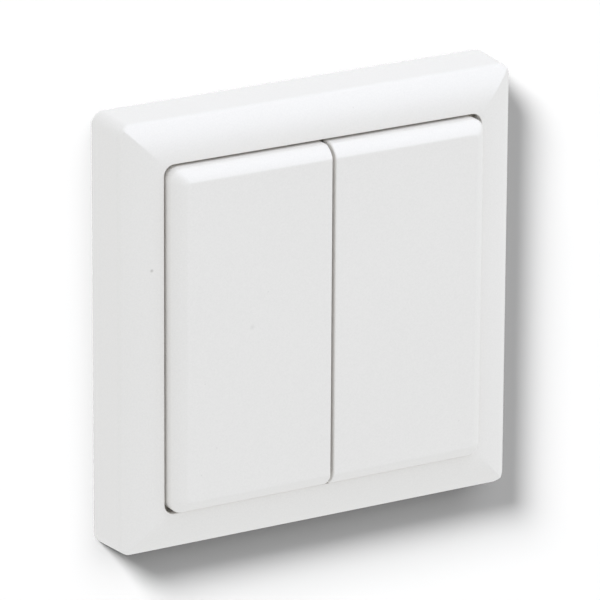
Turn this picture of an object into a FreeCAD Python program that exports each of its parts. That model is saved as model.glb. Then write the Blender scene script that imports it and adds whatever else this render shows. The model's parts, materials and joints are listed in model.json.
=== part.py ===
import FreeCAD, Part
import math
import os
from types import SimpleNamespace

import Sketcher

# Wireless remote wall switch: a clip-on cover frame round two tall rockers. The rockers turn in ears on a
# moulded carrier and work four push switches on a battery-powered radio board, screwed to a wall plate.
#
# Millimetres. X runs to the right as seen from the room, Y into the wall and Z up. The origin is the middle
# of the back face, on the wall. A depth is measured forward from the wall, so it lies along -Y.

# Driving sizes: alias, value and meaning
SIZES = [
    ("frame_width", 80.0, "cover frame, width at the wall"),
    ("frame_height", 80.0, "cover frame, height at the wall"),
    ("frame_wall", 2.0, "cover frame, wall thickness"),
    ("frame_draft", 0.2, "lean of each side wall between the wall and the crease"),
    ("frame_corner", 2.3, "cover frame, corner radius in front view"),
    ("crease_depth", 8.7, "depth at which side wall and slope meet"),
    ("crease_radius", 0.45, "rounding of the crease between side wall and slope"),
    ("crown_depth", 11.72, "depth of the slope's crown"),
    ("crown_inset", 0.7, "distance of the crown inside the opening's edge"),
    ("opening_width", 64.4, "opening for the rocker pair, width"),
    ("opening_height", 64.4, "opening for the rocker pair, height"),
    ("opening_corner", 2.0, "opening, corner radius"),
    ("collar_wall", 1.2, "collar behind the opening, thickness"),
    ("collar_gap", 0.1, "gap between collar and carrier"),
    ("rocker_front", 15.0, "depth of the rockers' front faces"),
    ("rocker_wall", 1.8, "rocker shell thickness"),
    ("rocker_gap", 0.45, "gap between rockers and opening"),
    ("centre_gap", 0.62, "gap between the two rockers"),
    ("rocker_corner", 2.3, "rocker, radius of the corners at the frame"),
    ("inner_corner", 0.5, "rocker, radius of the corners at the centre gap"),
    ("bevel_width", 2.35, "rocker bevel, width in front view"),
    ("bevel_rise", 2.27, "rocker bevel, depth"),
    ("bevel_curve", 4.0, "rocker bevel, radius of its convex section"),
    ("bevel_blend", 0.9, "rounding of the bevels' edges and mitres"),
    ("inner_edge", 0.3, "rounding of the front edge at the centre gap"),
    ("skirt_drop", 0.6, "rocker skirt, reach behind the pivot"),
    ("trunnion_radius", 1.2, "rocker trunnion pin"),
    ("trunnion_tip", 0.4, "reach of a trunnion past its ear"),
    ("lug_margin", 0.7, "wall of the lug around a trunnion's root"),
    ("rib_width", 1.0, "rocker stiffening ribs, thickness"),
    ("rib_height", 1.2, "rocker stiffening ribs, height"),
    ("pip_radius", 1.5, "presser pip"),
    ("pip_round", 1.1, "rounding of the presser pip's end"),
    ("presser_gap", 0.05, "gap between pip and plunger"),
    ("carrier_overlap", 2.2, "reach of the carrier behind the opening's edge"),
    ("carrier_corner", 2.0, "carrier, corner radius"),
    ("carrier_thickness", 1.2, "carrier plate"),
    ("carrier_gap", 0.2, "gap between switch covers and carrier"),
    ("rim_wall", 1.2, "carrier rim, thickness"),
    ("rim_reach", 2.2, "carrier rim, reach behind the plate"),
    ("carrier_rib", 1.0, "carrier ribs, thickness"),
    ("carrier_rib_reach", 1.4, "carrier ribs, reach behind the plate"),
    ("rib_room", 1.0, "carrier rib beside a screw post or above the cell window"),
    ("pivot_height", 2.1, "pivot axis in front of the carrier plate"),
    ("ear_width", 4.4, "bearing ear, width"),
    ("ear_thickness", 2.0, "bearing ear, thickness"),
    ("ear_gap", 0.25, "side gap between ear and rocker"),
    ("ear_grip", 0.75, "reach of a bearing ear past the pivot axis"),
    ("ear_lead", 0.4, "lead-in chamfer at the mouth of a bearing ear"),
    ("bearing_clearance", 0.05, "radial clearance of the trunnions"),
    ("bridge_height", 7.2, "carrier strip between cell window and upper half"),
    ("window_margin", 1.4, "cell window, radius beyond the cell"),
    ("strap_room", 0.4, "carrier window, clearance round the battery strap"),
    ("plunger_window", 0.5, "carrier hole, radius beyond the plunger"),
    ("post_radius", 2.7, "carrier screw post"),
    ("plate_gap", 0.6, "gap between wall plate and frame wall"),
    ("plate_corner", 1.0, "wall plate, corner radius"),
    ("plate_thickness", 1.6, "wall plate"),
    ("plate_rim_wall", 1.0, "locating rim of the wall plate, thickness"),
    ("plate_rim_height", 1.2, "locating rim of the wall plate, height"),
    ("boss_height", 1.0, "board bosses on the wall plate"),
    ("boss_radius", 2.4, "board bosses on the wall plate"),
    ("slot_spacing", 60.0, "wall screw slots, centre distance"),
    ("slot_length", 9.0, "wall screw slots, length"),
    ("slot_radius", 2.25, "wall screw slots, half width"),
    ("arm_width", 8.0, "snap arm, width"),
    ("arm_thickness", 1.3, "snap arm, thickness"),
    ("arm_gap", 1.1, "gap between snap arm and frame wall"),
    ("arm_relief", 1.0, "slot beside a snap arm, width"),
    ("nose_depth", 5.0, "depth of a snap nose's catch face"),
    ("nose_reach", 0.8, "snap nose, reach"),
    ("nose_height", 1.6, "snap nose, height"),
    ("ledge_reach", 0.9, "catch ledge in the frame, reach"),
    ("ledge_height", 1.4, "catch ledge in the frame, height"),
    ("catch_gap", 0.1, "gap between snap nose and catch ledge"),
    ("board_thickness", 1.6, "circuit board"),
    ("board_corner", 1.5, "circuit board, corner radius"),
    ("board_edge", 1.7, "board beyond the battery holder"),
    ("screw_edge", 3.5, "screw axis to board edge"),
    ("post_room", 0.3, "gap between a screw post and a push switch"),
    ("screw_radius", 1.0, "module screw shank"),
    ("screw_clearance", 0.25, "radial clearance of a screw in board and post"),
    ("thread_gap", 0.03, "radial gap of a screw in its boss"),
    ("screw_tip_floor", 0.6, "wall plate left behind a screw hole"),
    ("head_radius", 1.9, "module screw head"),
    ("head_height", 1.2, "module screw head"),
    ("head_edge", 0.4, "chamfer of a module screw's head"),
    ("head_sink", 1.5, "depth of the counterbore for a screw head"),
    ("head_clearance", 0.3, "radial clearance of the counterbore"),
    ("recess_length", 2.2, "cross recess, length"),
    ("recess_width", 0.55, "cross recess, width"),
    ("recess_depth", 0.7, "cross recess, depth"),
    ("switch_size", 6.0, "push switch housing, side"),
    ("switch_height", 3.0, "push switch housing, height"),
    ("switch_floor", 0.4, "push switch housing, floor"),
    ("switch_corner", 0.5, "push switch housing, corner radius"),
    ("switch_room", 1.7, "gap between battery holder and push switch"),
    ("switch_rise", 16.0, "plunger axis above or below the pivot"),
    ("terminal_pitch", 4.5, "push switch terminals, distance across a side"),
    ("terminal_width", 0.7, "push switch terminal, width"),
    ("terminal_sheet", 0.2, "push switch terminal, sheet thickness"),
    ("terminal_foot", 1.1, "push switch terminal, reach of the foot"),
    ("terminal_rise", 1.0, "push switch terminal, height up the housing"),
    ("cover_sheet", 0.3, "switch cover sheet"),
    ("cover_tab", 2.5, "switch cover tab, width"),
    ("cover_tab_reach", 1.4, "switch cover tab, reach behind the cover"),
    ("plunger_radius", 1.6, "plunger stem"),
    ("plunger_clearance", 0.08, "radial clearance of the plunger in its cover"),
    ("plunger_drop", 0.4, "plunger head behind the pivot axis"),
    ("plunger_edge", 0.3, "chamfer of the plunger head"),
    ("flange_radius", 2.3, "plunger flange"),
    ("flange_height", 0.75, "plunger flange"),
    ("flange_clearance", 0.15, "radial clearance of the flange"),
    ("stroke_room", 0.66, "room between flange and cover at rest"),
    ("dome_radius", 2.1, "return dome, foot"),
    ("dome_top", 1.1, "return dome, top"),
    ("dome_wall", 0.35, "return dome, thickness"),
    ("dome_gap", 0.05, "gap between return dome and plunger"),
    ("cell_diameter", 20.0, "coin cell"),
    ("cell_thickness", 3.2, "coin cell"),
    ("cell_cap", 17.4, "coin cell, diameter of the negative cap"),
    ("cell_cap_height", 0.5, "coin cell, height of the negative cap"),
    ("cell_edge", 0.3, "coin cell, edge chamfer"),
    ("holder_wall", 1.2, "battery holder ring, thickness"),
    ("holder_height", 2.6, "battery holder ring, height"),
    ("holder_floor", 0.4, "battery holder, floor"),
    ("holder_gap", 0.1, "radial gap between ring and cell"),
    ("holder_window", 5.0, "battery holder, radius of the contact window"),
    ("pry_width", 8.0, "notch in the ring for prising the cell out"),
    ("cell_lift", 0.45, "cell above the board"),
    ("strap_width", 5.0, "positive strap, width"),
    ("strap_sheet", 0.3, "positive strap, sheet thickness"),
    ("strap_gap", 0.2, "gap between strap and battery holder"),
    ("strap_bend", 0.7, "positive strap, outer bend radius"),
    ("contact_gap", 0.05, "gap between contacts and cell"),
    ("leaf_length", 7.0, "negative leaf, length"),
    ("leaf_width", 3.0, "negative leaf, width"),
    ("leaf_sheet", 0.2, "negative leaf, sheet thickness"),
    ("chip_length", 8.65, "controller chip body, length"),
    ("chip_width", 3.9, "controller chip body, width"),
    ("chip_height", 1.45, "controller chip body, height"),
    ("chip_standoff", 0.1, "controller chip body above the board"),
    ("chip_place", 11.0, "controller chip above the board's middle"),
    ("lead_pitch", 1.27, "controller chip, lead pitch"),
    ("lead_width", 0.42, "controller chip, lead width"),
    ("lead_sheet", 0.2, "controller chip, lead thickness"),
    ("lead_foot", 1.0, "controller chip, reach of a lead"),
    ("can_size", 5.0, "resonator base, side"),
    ("can_lid", 4.3, "resonator lid, side"),
    ("can_base_height", 0.5, "resonator base, height"),
    ("can_height", 1.5, "resonator, height"),
    ("can_place", 19.5, "resonator above the board's middle"),
    ("wire_radius", 0.4, "aerial wire"),
    ("wire_span", 28.0, "aerial, length along the board"),
    ("wire_rise", 1.4, "aerial above the board"),
    ("wire_bend", 1.0, "aerial, bend radius"),
    ("wire_edge", 2.5, "aerial to the board's upper edge"),
    ("part_length", 2.0, "small surface-mount part, length"),
    ("part_width", 1.25, "small surface-mount part, width"),
    ("part_height", 0.6, "small surface-mount part, height"),
    ("part_pitch", 2.6, "small surface-mount parts, pitch"),
]
CHIP_LEADS_PER_SIDE = 7
PART_ROWS = 3
PART_COLUMNS = 2

# Sketcher's own numbers for the origin, the axes and the points of a curve
ORIGIN = -1
HORIZONTAL_AXIS = -1
VERTICAL_AXIS = -2
START, END, CENTRE = 1, 2, 3

# How far a feature reaches into its neighbour so that both fuse, and how far a cut runs past a face
MERGE = 0.4
PAST = 1.0

SIDES = {"left": -1, "right": 1}
ENDS = {"top": 1, "bottom": -1}


class Size:
    """A length as a number and as the sheet expression that gives it."""

    def __init__(self, text, value):
        self.text = text
        self.value = value

    def __add__(self, other):
        other = as_size(other)
        return Size(f"({self.text} + {other.text})", self.value + other.value)

    def __radd__(self, other):
        return as_size(other) + self

    def __sub__(self, other):
        other = as_size(other)
        return Size(f"({self.text} - {other.text})", self.value - other.value)

    def __rsub__(self, other):
        return as_size(other) - self

    def __mul__(self, other):
        other = as_size(other)
        return Size(f"({self.text} * {other.text})", self.value * other.value)

    def __rmul__(self, other):
        return as_size(other) * self

    def __truediv__(self, other):
        other = as_size(other)
        return Size(f"({self.text} / {other.text})", self.value / other.value)

    def __neg__(self):
        return as_size(0) - self


def as_size(value):
    return value if isinstance(value, Size) else Size(repr(value), float(value))


def root(size):
    return Size(f"sqrt({size.text})", math.sqrt(size.value))


def slant_degrees(rise, run):
    """The angle of a slanted face, in degrees."""
    quotient = rise / run
    return Size(f"(atan({quotient.text}) / 1 deg)", math.degrees(math.atan(quotient.value)))


def make_sheet():
    """Writes the driving sizes into the spreadsheet and returns each as a Size."""
    sheet = doc.addObject("Spreadsheet::Sheet", "dims")
    for row, (alias, value, meaning) in enumerate(SIZES, 1):
        sheet.set(f"A{row}", meaning)
        sheet.set(f"B{row}", repr(value))
        sheet.setAlias(f"B{row}", alias)
    doc.recompute()
    return SimpleNamespace(**{alias: Size(f"dims.{alias}", value) for alias, value, _ in SIZES})


doc = FreeCAD.newDocument("wall_switch")
dim = make_sheet()


def derived_sizes():
    """Places that several pieces share, worked out from the driving sizes."""
    place = SimpleNamespace()
    place.half_width = dim.frame_width / 2
    place.half_height = dim.frame_height / 2
    place.open_x = dim.opening_width / 2
    place.open_z = dim.opening_height / 2
    place.board_back = dim.plate_thickness + dim.boss_height
    place.board_front = place.board_back + dim.board_thickness
    place.switch_front = place.board_front + dim.switch_height
    place.cover_front = place.switch_front + dim.cover_sheet
    place.carrier_back = place.cover_front + dim.carrier_gap
    place.carrier_front = place.carrier_back + dim.carrier_thickness
    place.pivot = place.carrier_front + dim.pivot_height
    place.skirt_back = place.pivot - dim.skirt_drop
    place.plunger_top = place.pivot - dim.plunger_drop
    place.rocker_inside = dim.rocker_front - dim.rocker_wall
    place.rocker_x = place.open_x - dim.rocker_gap
    place.rocker_z = place.open_z - dim.rocker_gap
    place.inner_x = dim.centre_gap / 2
    place.holder_bore = dim.cell_diameter / 2 + dim.holder_gap
    place.holder_radius = place.holder_bore + dim.holder_wall
    place.window_radius = dim.cell_diameter / 2 + dim.window_margin
    place.switch_x = place.holder_radius + dim.switch_room + dim.switch_size / 2
    place.cell_z = -(dim.bridge_height / 2 + place.window_radius)
    place.cell_back = place.board_front + dim.cell_lift
    place.cell_front = place.cell_back + dim.cell_thickness
    place.strap_x = place.holder_radius + dim.strap_gap + dim.strap_sheet
    place.board_z = place.holder_radius + dim.board_edge - place.cell_z
    place.switch_edge = dim.switch_size / 2 + dim.cover_sheet
    place.screw_x = place.switch_x + place.switch_edge + dim.post_room + dim.post_radius
    place.screw_z = place.board_z - dim.screw_edge
    place.board_x = place.screw_x + dim.screw_edge
    place.head_seat = place.carrier_front - dim.head_sink
    place.arm_face_x = place.half_width - dim.frame_wall - dim.arm_gap
    place.arm_face_z = place.half_height - dim.frame_wall - dim.arm_gap
    place.flange_front = place.switch_front - dim.stroke_room
    place.flange_back = place.flange_front - dim.flange_height
    place.switch_inside = place.board_front + dim.switch_floor
    return place


at = derived_sizes()


def screw_places():
    return [(sx * at.screw_x, sz * at.screw_z) for sx in SIDES.values() for sz in ENDS.values()]


def switch_places():
    return [(sx * at.switch_x, sz * dim.switch_rise) for sx in SIDES.values() for sz in ENDS.values()]


# Document helpers


def bind(thing, path, size):
    thing.setExpression(path, as_size(size).text)


def new_body(label):
    body = doc.addObject("PartDesign::Body", label)
    body.Label = label
    return body


def sketch_on(body, role, name, offset=0):
    """A sketch on one of the body's own origin planes, moved along the plane's normal by the offset."""
    sketch = body.newObject("Sketcher::SketchObject", f"{body.Label}_{name}")
    plane = next(feature for feature in body.Origin.OriginFeatures if feature.Role == role)
    sketch.AttachmentSupport = [(plane, "")]
    sketch.MapMode = "FlatFace"
    bind(sketch, "AttachmentOffset.Base.z", offset)
    return sketch


def front_sketch(body, name, depth=0):
    """A sketch seen from the front, across X and up Z, at a depth in front of the wall."""
    return sketch_on(body, "XZ_Plane", name, depth)


def top_sketch(body, name, height=0):
    """A sketch seen from above, across X and into the wall along Y."""
    return sketch_on(body, "XY_Plane", name, height)


def side_sketch(body, name, across=0):
    """A sketch seen from the right, into the wall along Y and up Z."""
    return sketch_on(body, "YZ_Plane", name, across)


def on_top(across, depth):
    """A point of a cross-section drawn on a top sketch."""
    return across, -depth


def on_side(across, depth):
    """A point of a cross-section drawn on a side sketch."""
    return -depth, across


def pad(sketch, length, symmetric=False):
    body = sketch.getParentGeoFeatureGroup()
    feature = body.newObject("PartDesign::Pad", f"{sketch.Label}_pad")
    feature.Profile = sketch
    bind(feature, "Length", length)
    if symmetric:
        feature.SideType = "Symmetric"
    return feature


def pocket(sketch, length, forward=False):
    """Cuts towards the wall from the sketch, or away from the wall."""
    body = sketch.getParentGeoFeatureGroup()
    feature = body.newObject("PartDesign::Pocket", f"{sketch.Label}_pocket")
    feature.Profile = sketch
    bind(feature, "Length", length)
    feature.Reversed = forward
    return feature


def cut_through(sketch):
    """Cuts through everything on both sides of the sketch."""
    body = sketch.getParentGeoFeatureGroup()
    feature = body.newObject("PartDesign::Pocket", f"{sketch.Label}_cut")
    feature.Profile = sketch
    feature.Type = "ThroughAll"
    feature.SideType = "Symmetric"
    return feature


def revolve(sketch):
    """Turns a half section on a top sketch round the Y axis."""
    body = sketch.getParentGeoFeatureGroup()
    feature = body.newObject("PartDesign::Revolution", f"{sketch.Label}_turned")
    feature.Profile = sketch
    feature.ReferenceAxis = (sketch, ["V_Axis"])
    feature.Angle = 360
    return feature


def edges_where(body, test):
    """Names of the edges of the body's last feature whose middle passes the test."""
    doc.recompute()
    names = []
    for number, edge in enumerate(body.Tip.Shape.Edges, 1):
        middle = edge.valueAt((edge.FirstParameter + edge.LastParameter) / 2)
        if test(edge, middle):
            names.append(f"Edge{number}")
    if not names:
        raise ValueError(f"{body.Label}: no edge to round")
    return names


def fillet(body, radius, test):
    names = edges_where(body, test)
    base = body.Tip
    feature = body.newObject("PartDesign::Fillet", f"{body.Label}_fillet")
    feature.Base = (base, names)
    bind(feature, "Radius", radius)
    return feature


def chamfer(body, size, test):
    names = edges_where(body, test)
    base = body.Tip
    feature = body.newObject("PartDesign::Chamfer", f"{body.Label}_chamfer")
    feature.Base = (base, names)
    bind(feature, "Size", size)
    return feature


def near(one, other):
    return abs(one - other) < 1e-4


# Sketch helpers: every point is fixed by its own two coordinates, bound to the sheet


def flat(point):
    return FreeCAD.Vector(as_size(point[0]).value, as_size(point[1]).value, 0)


def constrain(sketch, size, *words):
    number = sketch.addConstraint(Sketcher.Constraint(*words, as_size(size).value))
    bind(sketch, f"Constraints[{number}]", size)


def fix_point(sketch, curve, end, point):
    places = (("DistanceX", VERTICAL_AXIS, point[0]), ("DistanceY", HORIZONTAL_AXIS, point[1]))
    for kind, axis, size in places:
        if isinstance(size, int) and size == 0:
            sketch.addConstraint(Sketcher.Constraint("PointOnObject", curve, end, axis))
        else:
            constrain(sketch, size, kind, ORIGIN, START, curve, end)


def add_arc(sketch, start, end, radius, bulge):
    """An arc shorter than a half circle. Its bulge is 1 to the left of its way and -1 to the right."""
    begin, finish = flat(start), flat(end)
    chord = finish - begin
    left = FreeCAD.Vector(-chord.y, chord.x, 0).normalize()
    rise = radius.value - math.sqrt(radius.value**2 - (chord.Length / 2) ** 2)
    middle = begin + chord / 2 + left * bulge * rise
    arc = sketch.addGeometry(Part.Arc(begin, middle, finish))
    constrain(sketch, radius, "Radius", arc)
    forward = (sketch.getPoint(arc, START) - begin).Length < (sketch.getPoint(arc, END) - begin).Length
    return (arc, START, END) if forward else (arc, END, START)


def bulge_towards(start, end, point):
    """The bulge of an arc from start to end that curves towards a point."""
    chord = flat(end) - flat(start)
    aim = flat(point) - flat(start)
    return 1 if chord.x * aim.y - chord.y * aim.x > 0 else -1


def draw_sides(sketch, points, ends, arcs):
    """Lines and arcs from each point to its end, joined in a chain; each comes with its end numbers."""
    sides = []
    for number, (start, end) in enumerate(zip(points, ends)):
        if number in arcs:
            sides.append(add_arc(sketch, start, end, *arcs[number]))
        else:
            line = sketch.addGeometry(Part.LineSegment(flat(start), flat(end)))
            sides.append((line, START, END))
    for (curve, begin, _), point in zip(sides, points):
        fix_point(sketch, curve, begin, point)
    for (curve, _, finish), (after, after_begin, _) in zip(sides, sides[1:]):
        sketch.addConstraint(Sketcher.Constraint("Coincident", curve, finish, after, after_begin))
    return sides


def outline(sketch, points, arcs=None):
    """A closed outline. arcs gives the radius and bulge of each side that isn't straight, by number."""
    sides = draw_sides(sketch, points, points[1:] + points[:1], arcs or {})
    (last, _, finish), (first, begin, _) = sides[-1], sides[0]
    sketch.addConstraint(Sketcher.Constraint("Coincident", last, finish, first, begin))


def route(sketch, points, arcs):
    """An open line of straight runs and bends."""
    sides = draw_sides(sketch, points, points[1:], arcs)
    last, _, finish = sides[-1]
    fix_point(sketch, last, finish, points[-1])


def rectangle(sketch, low_x, high_x, low_y, high_y):
    outline(sketch, [(low_x, low_y), (high_x, low_y), (high_x, high_y), (low_x, high_y)])


def rounded_rectangle(sketch, low_x, high_x, low_y, high_y, low_radius, high_radius=None):
    """A rectangle with one corner radius on its low X side and one on its high X side."""
    high_radius = high_radius or low_radius
    points = [
        (low_x + low_radius, low_y),
        (high_x - high_radius, low_y),
        (high_x, low_y + high_radius),
        (high_x, high_y - high_radius),
        (high_x - high_radius, high_y),
        (low_x + low_radius, high_y),
        (low_x, high_y - low_radius),
        (low_x, low_y + low_radius),
    ]
    rounded = {1: high_radius, 3: high_radius, 5: low_radius, 7: low_radius}
    outline(sketch, points, {side: (radius, -1) for side, radius in rounded.items()})


def centred_square(sketch, half_x, half_z, radius):
    rounded_rectangle(sketch, -half_x, half_x, -half_z, half_z, radius)


def circle(sketch, point, radius):
    upright = FreeCAD.Vector(0, 0, 1)
    ring = sketch.addGeometry(Part.Circle(flat(point), upright, as_size(radius).value))
    fix_point(sketch, ring, CENTRE, point)
    constrain(sketch, radius, "Radius", ring)


def slot(sketch, point, length, radius):
    """A slot with round ends that runs along the sketch's first axis."""
    reach = length / 2 - radius
    low, high = (point[0] - reach, point[1]), (point[0] + reach, point[1])
    upright = FreeCAD.Vector(0, 0, 1)
    drop = FreeCAD.Vector(0, radius.value, 0)
    quarter = math.pi / 2
    curves = [
        Part.LineSegment(flat(low) - drop, flat(high) - drop),
        Part.ArcOfCircle(Part.Circle(flat(high), upright, radius.value), -quarter, quarter),
        Part.LineSegment(flat(high) + drop, flat(low) + drop),
        Part.ArcOfCircle(Part.Circle(flat(low), upright, radius.value), quarter, 3 * quarter),
    ]
    sides = [sketch.addGeometry(curve) for curve in curves]
    for side, after in zip(sides, sides[1:] + sides[:1]):
        sketch.addConstraint(Sketcher.Constraint("Tangent", side, END, after, START))
    sketch.addConstraint(Sketcher.Constraint("Equal", sides[1], sides[3]))
    fix_point(sketch, sides[1], CENTRE, high)
    fix_point(sketch, sides[3], CENTRE, low)
    constrain(sketch, radius, "Radius", sides[1])


# Cover frame


def slope_section(sketch, place, sign, half, crown, inset):
    """What is cut away outside a convex slope that climbs from the crease to the crown."""
    run = half - dim.frame_draft - crown
    rise = dim.crown_depth - dim.crease_depth
    outer_radius = (run * run + rise * rise) / (2 * rise)
    radius = outer_radius - inset
    reach = run - inset
    drop = root(radius * radius - reach * reach)
    crease_depth = dim.crown_depth - outer_radius + drop
    crown_depth = dim.crown_depth - inset
    above = dim.crown_depth + PAST
    points = [
        place(sign * crown, crown_depth),
        place(sign * (crown + reach), crease_depth),
        place(sign * (crown + reach + PAST), crease_depth - PAST * reach / drop),
        place(sign * (crown + reach + PAST), above),
        place(sign * crown, above),
    ]
    outline(sketch, points, {0: (radius, bulge_towards(points[0], points[1], points[3]))})


def add_sloped_block(body, inset):
    """The frame's outer form, or with an inset the hollow inside it."""
    plan = front_sketch(body, "plan")
    centred_square(plan, at.half_width - inset, at.half_height - inset, dim.frame_corner - inset)
    block = pad(plan, dim.crown_depth - inset)
    bind(block, "TaperAngle", -slant_degrees(dim.frame_draft, dim.crease_depth))
    across = top_sketch(body, "side_slopes")
    upward = side_sketch(body, "end_slopes")
    for sign in (-1, 1):
        slope_section(across, on_top, sign, at.half_width, at.open_x - dim.crown_inset, inset)
        slope_section(upward, on_side, sign, at.half_height, at.open_z - dim.crown_inset, inset)
    cut_through(across)
    cut_through(upward)


def make_cover_frame():
    body = new_body("cover_frame")
    add_sloped_block(body, as_size(0))
    hollow = new_body("cover_frame_hollow")
    add_sloped_block(hollow, dim.frame_wall)
    doc.recompute()
    shell = body.newObject("PartDesign::Boolean", "cover_frame_shell")
    shell.Type = "Cut"
    shell.setObjects([hollow])

    collar_back = at.carrier_front + dim.collar_gap
    collar = front_sketch(body, "collar", collar_back)
    collar_x = at.open_x + dim.collar_wall
    collar_z = at.open_z + dim.collar_wall
    centred_square(collar, collar_x, collar_z, dim.opening_corner + dim.collar_wall)
    pad(collar, dim.crown_depth - dim.frame_wall + MERGE - collar_back)

    ledge_front = dim.nose_depth - dim.catch_gap
    ledges = front_sketch(body, "ledges", ledge_front - dim.ledge_height)
    half_ledge = dim.arm_width / 2 + PAST
    wall_x = at.half_width - dim.frame_wall
    wall_z = at.half_height - dim.frame_wall
    rectangle(ledges, wall_x - dim.ledge_reach, wall_x + MERGE, -half_ledge, half_ledge)
    rectangle(ledges, -wall_x - MERGE, -wall_x + dim.ledge_reach, -half_ledge, half_ledge)
    rectangle(ledges, -half_ledge, half_ledge, wall_z - dim.ledge_reach, wall_z + MERGE)
    rectangle(ledges, -half_ledge, half_ledge, -wall_z - MERGE, -wall_z + dim.ledge_reach)
    pad(ledges, dim.ledge_height)

    opening = front_sketch(body, "opening")
    centred_square(opening, at.open_x, at.open_z, dim.opening_corner)
    cut_through(opening)

    crease_x = (at.half_width - dim.frame_draft).value
    crease_z = (at.half_height - dim.frame_draft).value
    crease_y = -dim.crease_depth.value

    def on_crease(edge, middle):
        outside = near(abs(middle.x), crease_x) or near(abs(middle.z), crease_z)
        return outside and near(middle.y, crease_y)

    fillet(body, dim.crease_radius, on_crease)
    return body


# Rockers


def bevel_section(sketch, place, sign, edge):
    """What is cut away outside a convex bevel."""
    foot = dim.rocker_front - dim.bevel_rise
    above = dim.rocker_front + PAST
    points = [
        place(sign * (edge - dim.bevel_width), dim.rocker_front),
        place(sign * edge, foot),
        place(sign * (edge + PAST), foot),
        place(sign * (edge + PAST), above),
        place(sign * (edge - dim.bevel_width), above),
    ]
    outline(sketch, points, {0: (dim.bevel_curve, bulge_towards(points[0], points[1], points[3]))})


def make_rocker(side):
    sign = SIDES[side]
    body = new_body(f"{side}_rocker")

    def span(inner, outer):
        """A stretch of X on this rocker's side, low end first."""
        return (sign * inner, sign * outer) if sign > 0 else (sign * outer, sign * inner)

    low_x, high_x = span(at.inner_x, at.rocker_x)
    radii = (dim.inner_corner, dim.rocker_corner)
    plan = front_sketch(body, "plan", at.skirt_back)
    rounded_rectangle(plan, low_x, high_x, -at.rocker_z, at.rocker_z, *radii[::sign])
    pad(plan, dim.rocker_front - at.skirt_back)

    inside_x = (at.inner_x + dim.rocker_wall, at.rocker_x - dim.rocker_wall)
    inside_z = at.rocker_z - dim.rocker_wall
    hollow = front_sketch(body, "hollow", at.skirt_back)
    rectangle(hollow, *span(*inside_x), -inside_z, inside_z)
    pocket(hollow, at.rocker_inside - at.skirt_back, forward=True)

    ribs = front_sketch(body, "ribs", at.rocker_inside - dim.rib_height)
    half_rib = dim.rib_width / 2
    long_rib = span(at.switch_x - half_rib, at.switch_x + half_rib)
    rectangle(ribs, *long_rib, -inside_z - MERGE, inside_z + MERGE)
    pad(ribs, dim.rib_height + MERGE)
    for end, rise in ENDS.items():
        cross_rib = front_sketch(body, f"{end}_rib", at.rocker_inside - dim.rib_height)
        middle = rise * dim.switch_rise
        reach = span(inside_x[0] - MERGE, inside_x[1] + MERGE)
        rectangle(cross_rib, *reach, middle - half_rib, middle + half_rib)
        pad(cross_rib, dim.rib_height + MERGE)

    pip_end = at.plunger_top + dim.presser_gap
    pips = front_sketch(body, "pips", pip_end)
    for rise in ENDS.values():
        circle(pips, (sign * at.switch_x, rise * dim.switch_rise), dim.pip_radius)
    pad(pips, at.rocker_inside + MERGE - pip_end)
    fillet(body, dim.pip_round, lambda edge, middle: near(middle.y, -pip_end.value))

    reach = dim.ear_gap + dim.ear_thickness + dim.trunnion_tip
    lug_radius = dim.trunnion_radius + dim.lug_margin
    axle_parts = [
        ("inner_lug", lug_radius, at.inner_x, inside_x[0]),
        ("outer_lug", lug_radius, inside_x[1], at.rocker_x),
        ("inner_trunnion", dim.trunnion_radius, inside_x[0] - MERGE, inside_x[0] + reach),
        ("outer_trunnion", dim.trunnion_radius, inside_x[1] - reach, inside_x[1] + MERGE),
    ]
    for name, radius, inner, outer in axle_parts:
        low, high = span(inner, outer)
        disc = side_sketch(body, name, low)
        circle(disc, (-at.pivot, 0), radius)
        pad(disc, high - low)

    ends = side_sketch(body, "end_bevels")
    for rise in ENDS.values():
        bevel_section(ends, on_side, rise, at.rocker_z)
    cut_through(ends)
    outer = top_sketch(body, "outer_bevel")
    bevel_section(outer, on_top, sign, at.rocker_x)
    cut_through(outer)

    inner_x = sign * at.inner_x.value
    front_y = -dim.rocker_front.value
    bevel_top_z = (at.rocker_z - dim.bevel_width).value
    bevel_top_x = sign * (at.rocker_x - dim.bevel_width).value

    def on_bevel(edge, middle):
        round_front = near(middle.y, front_y) and not near(middle.x, inner_x)
        inward = min(abs(bevel_top_z - abs(middle.z)), abs(bevel_top_x - middle.x))
        mitre = near(abs(middle.z) - bevel_top_z, abs(middle.x - bevel_top_x)) and inward > 0.1
        return round_front or mitre

    fillet(body, dim.bevel_blend, on_bevel)
    fillet(body, dim.inner_edge, lambda edge, middle: near(middle.x, inner_x) and near(middle.y, front_y))
    return body


# Carrier with the rockers' bearings


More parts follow.
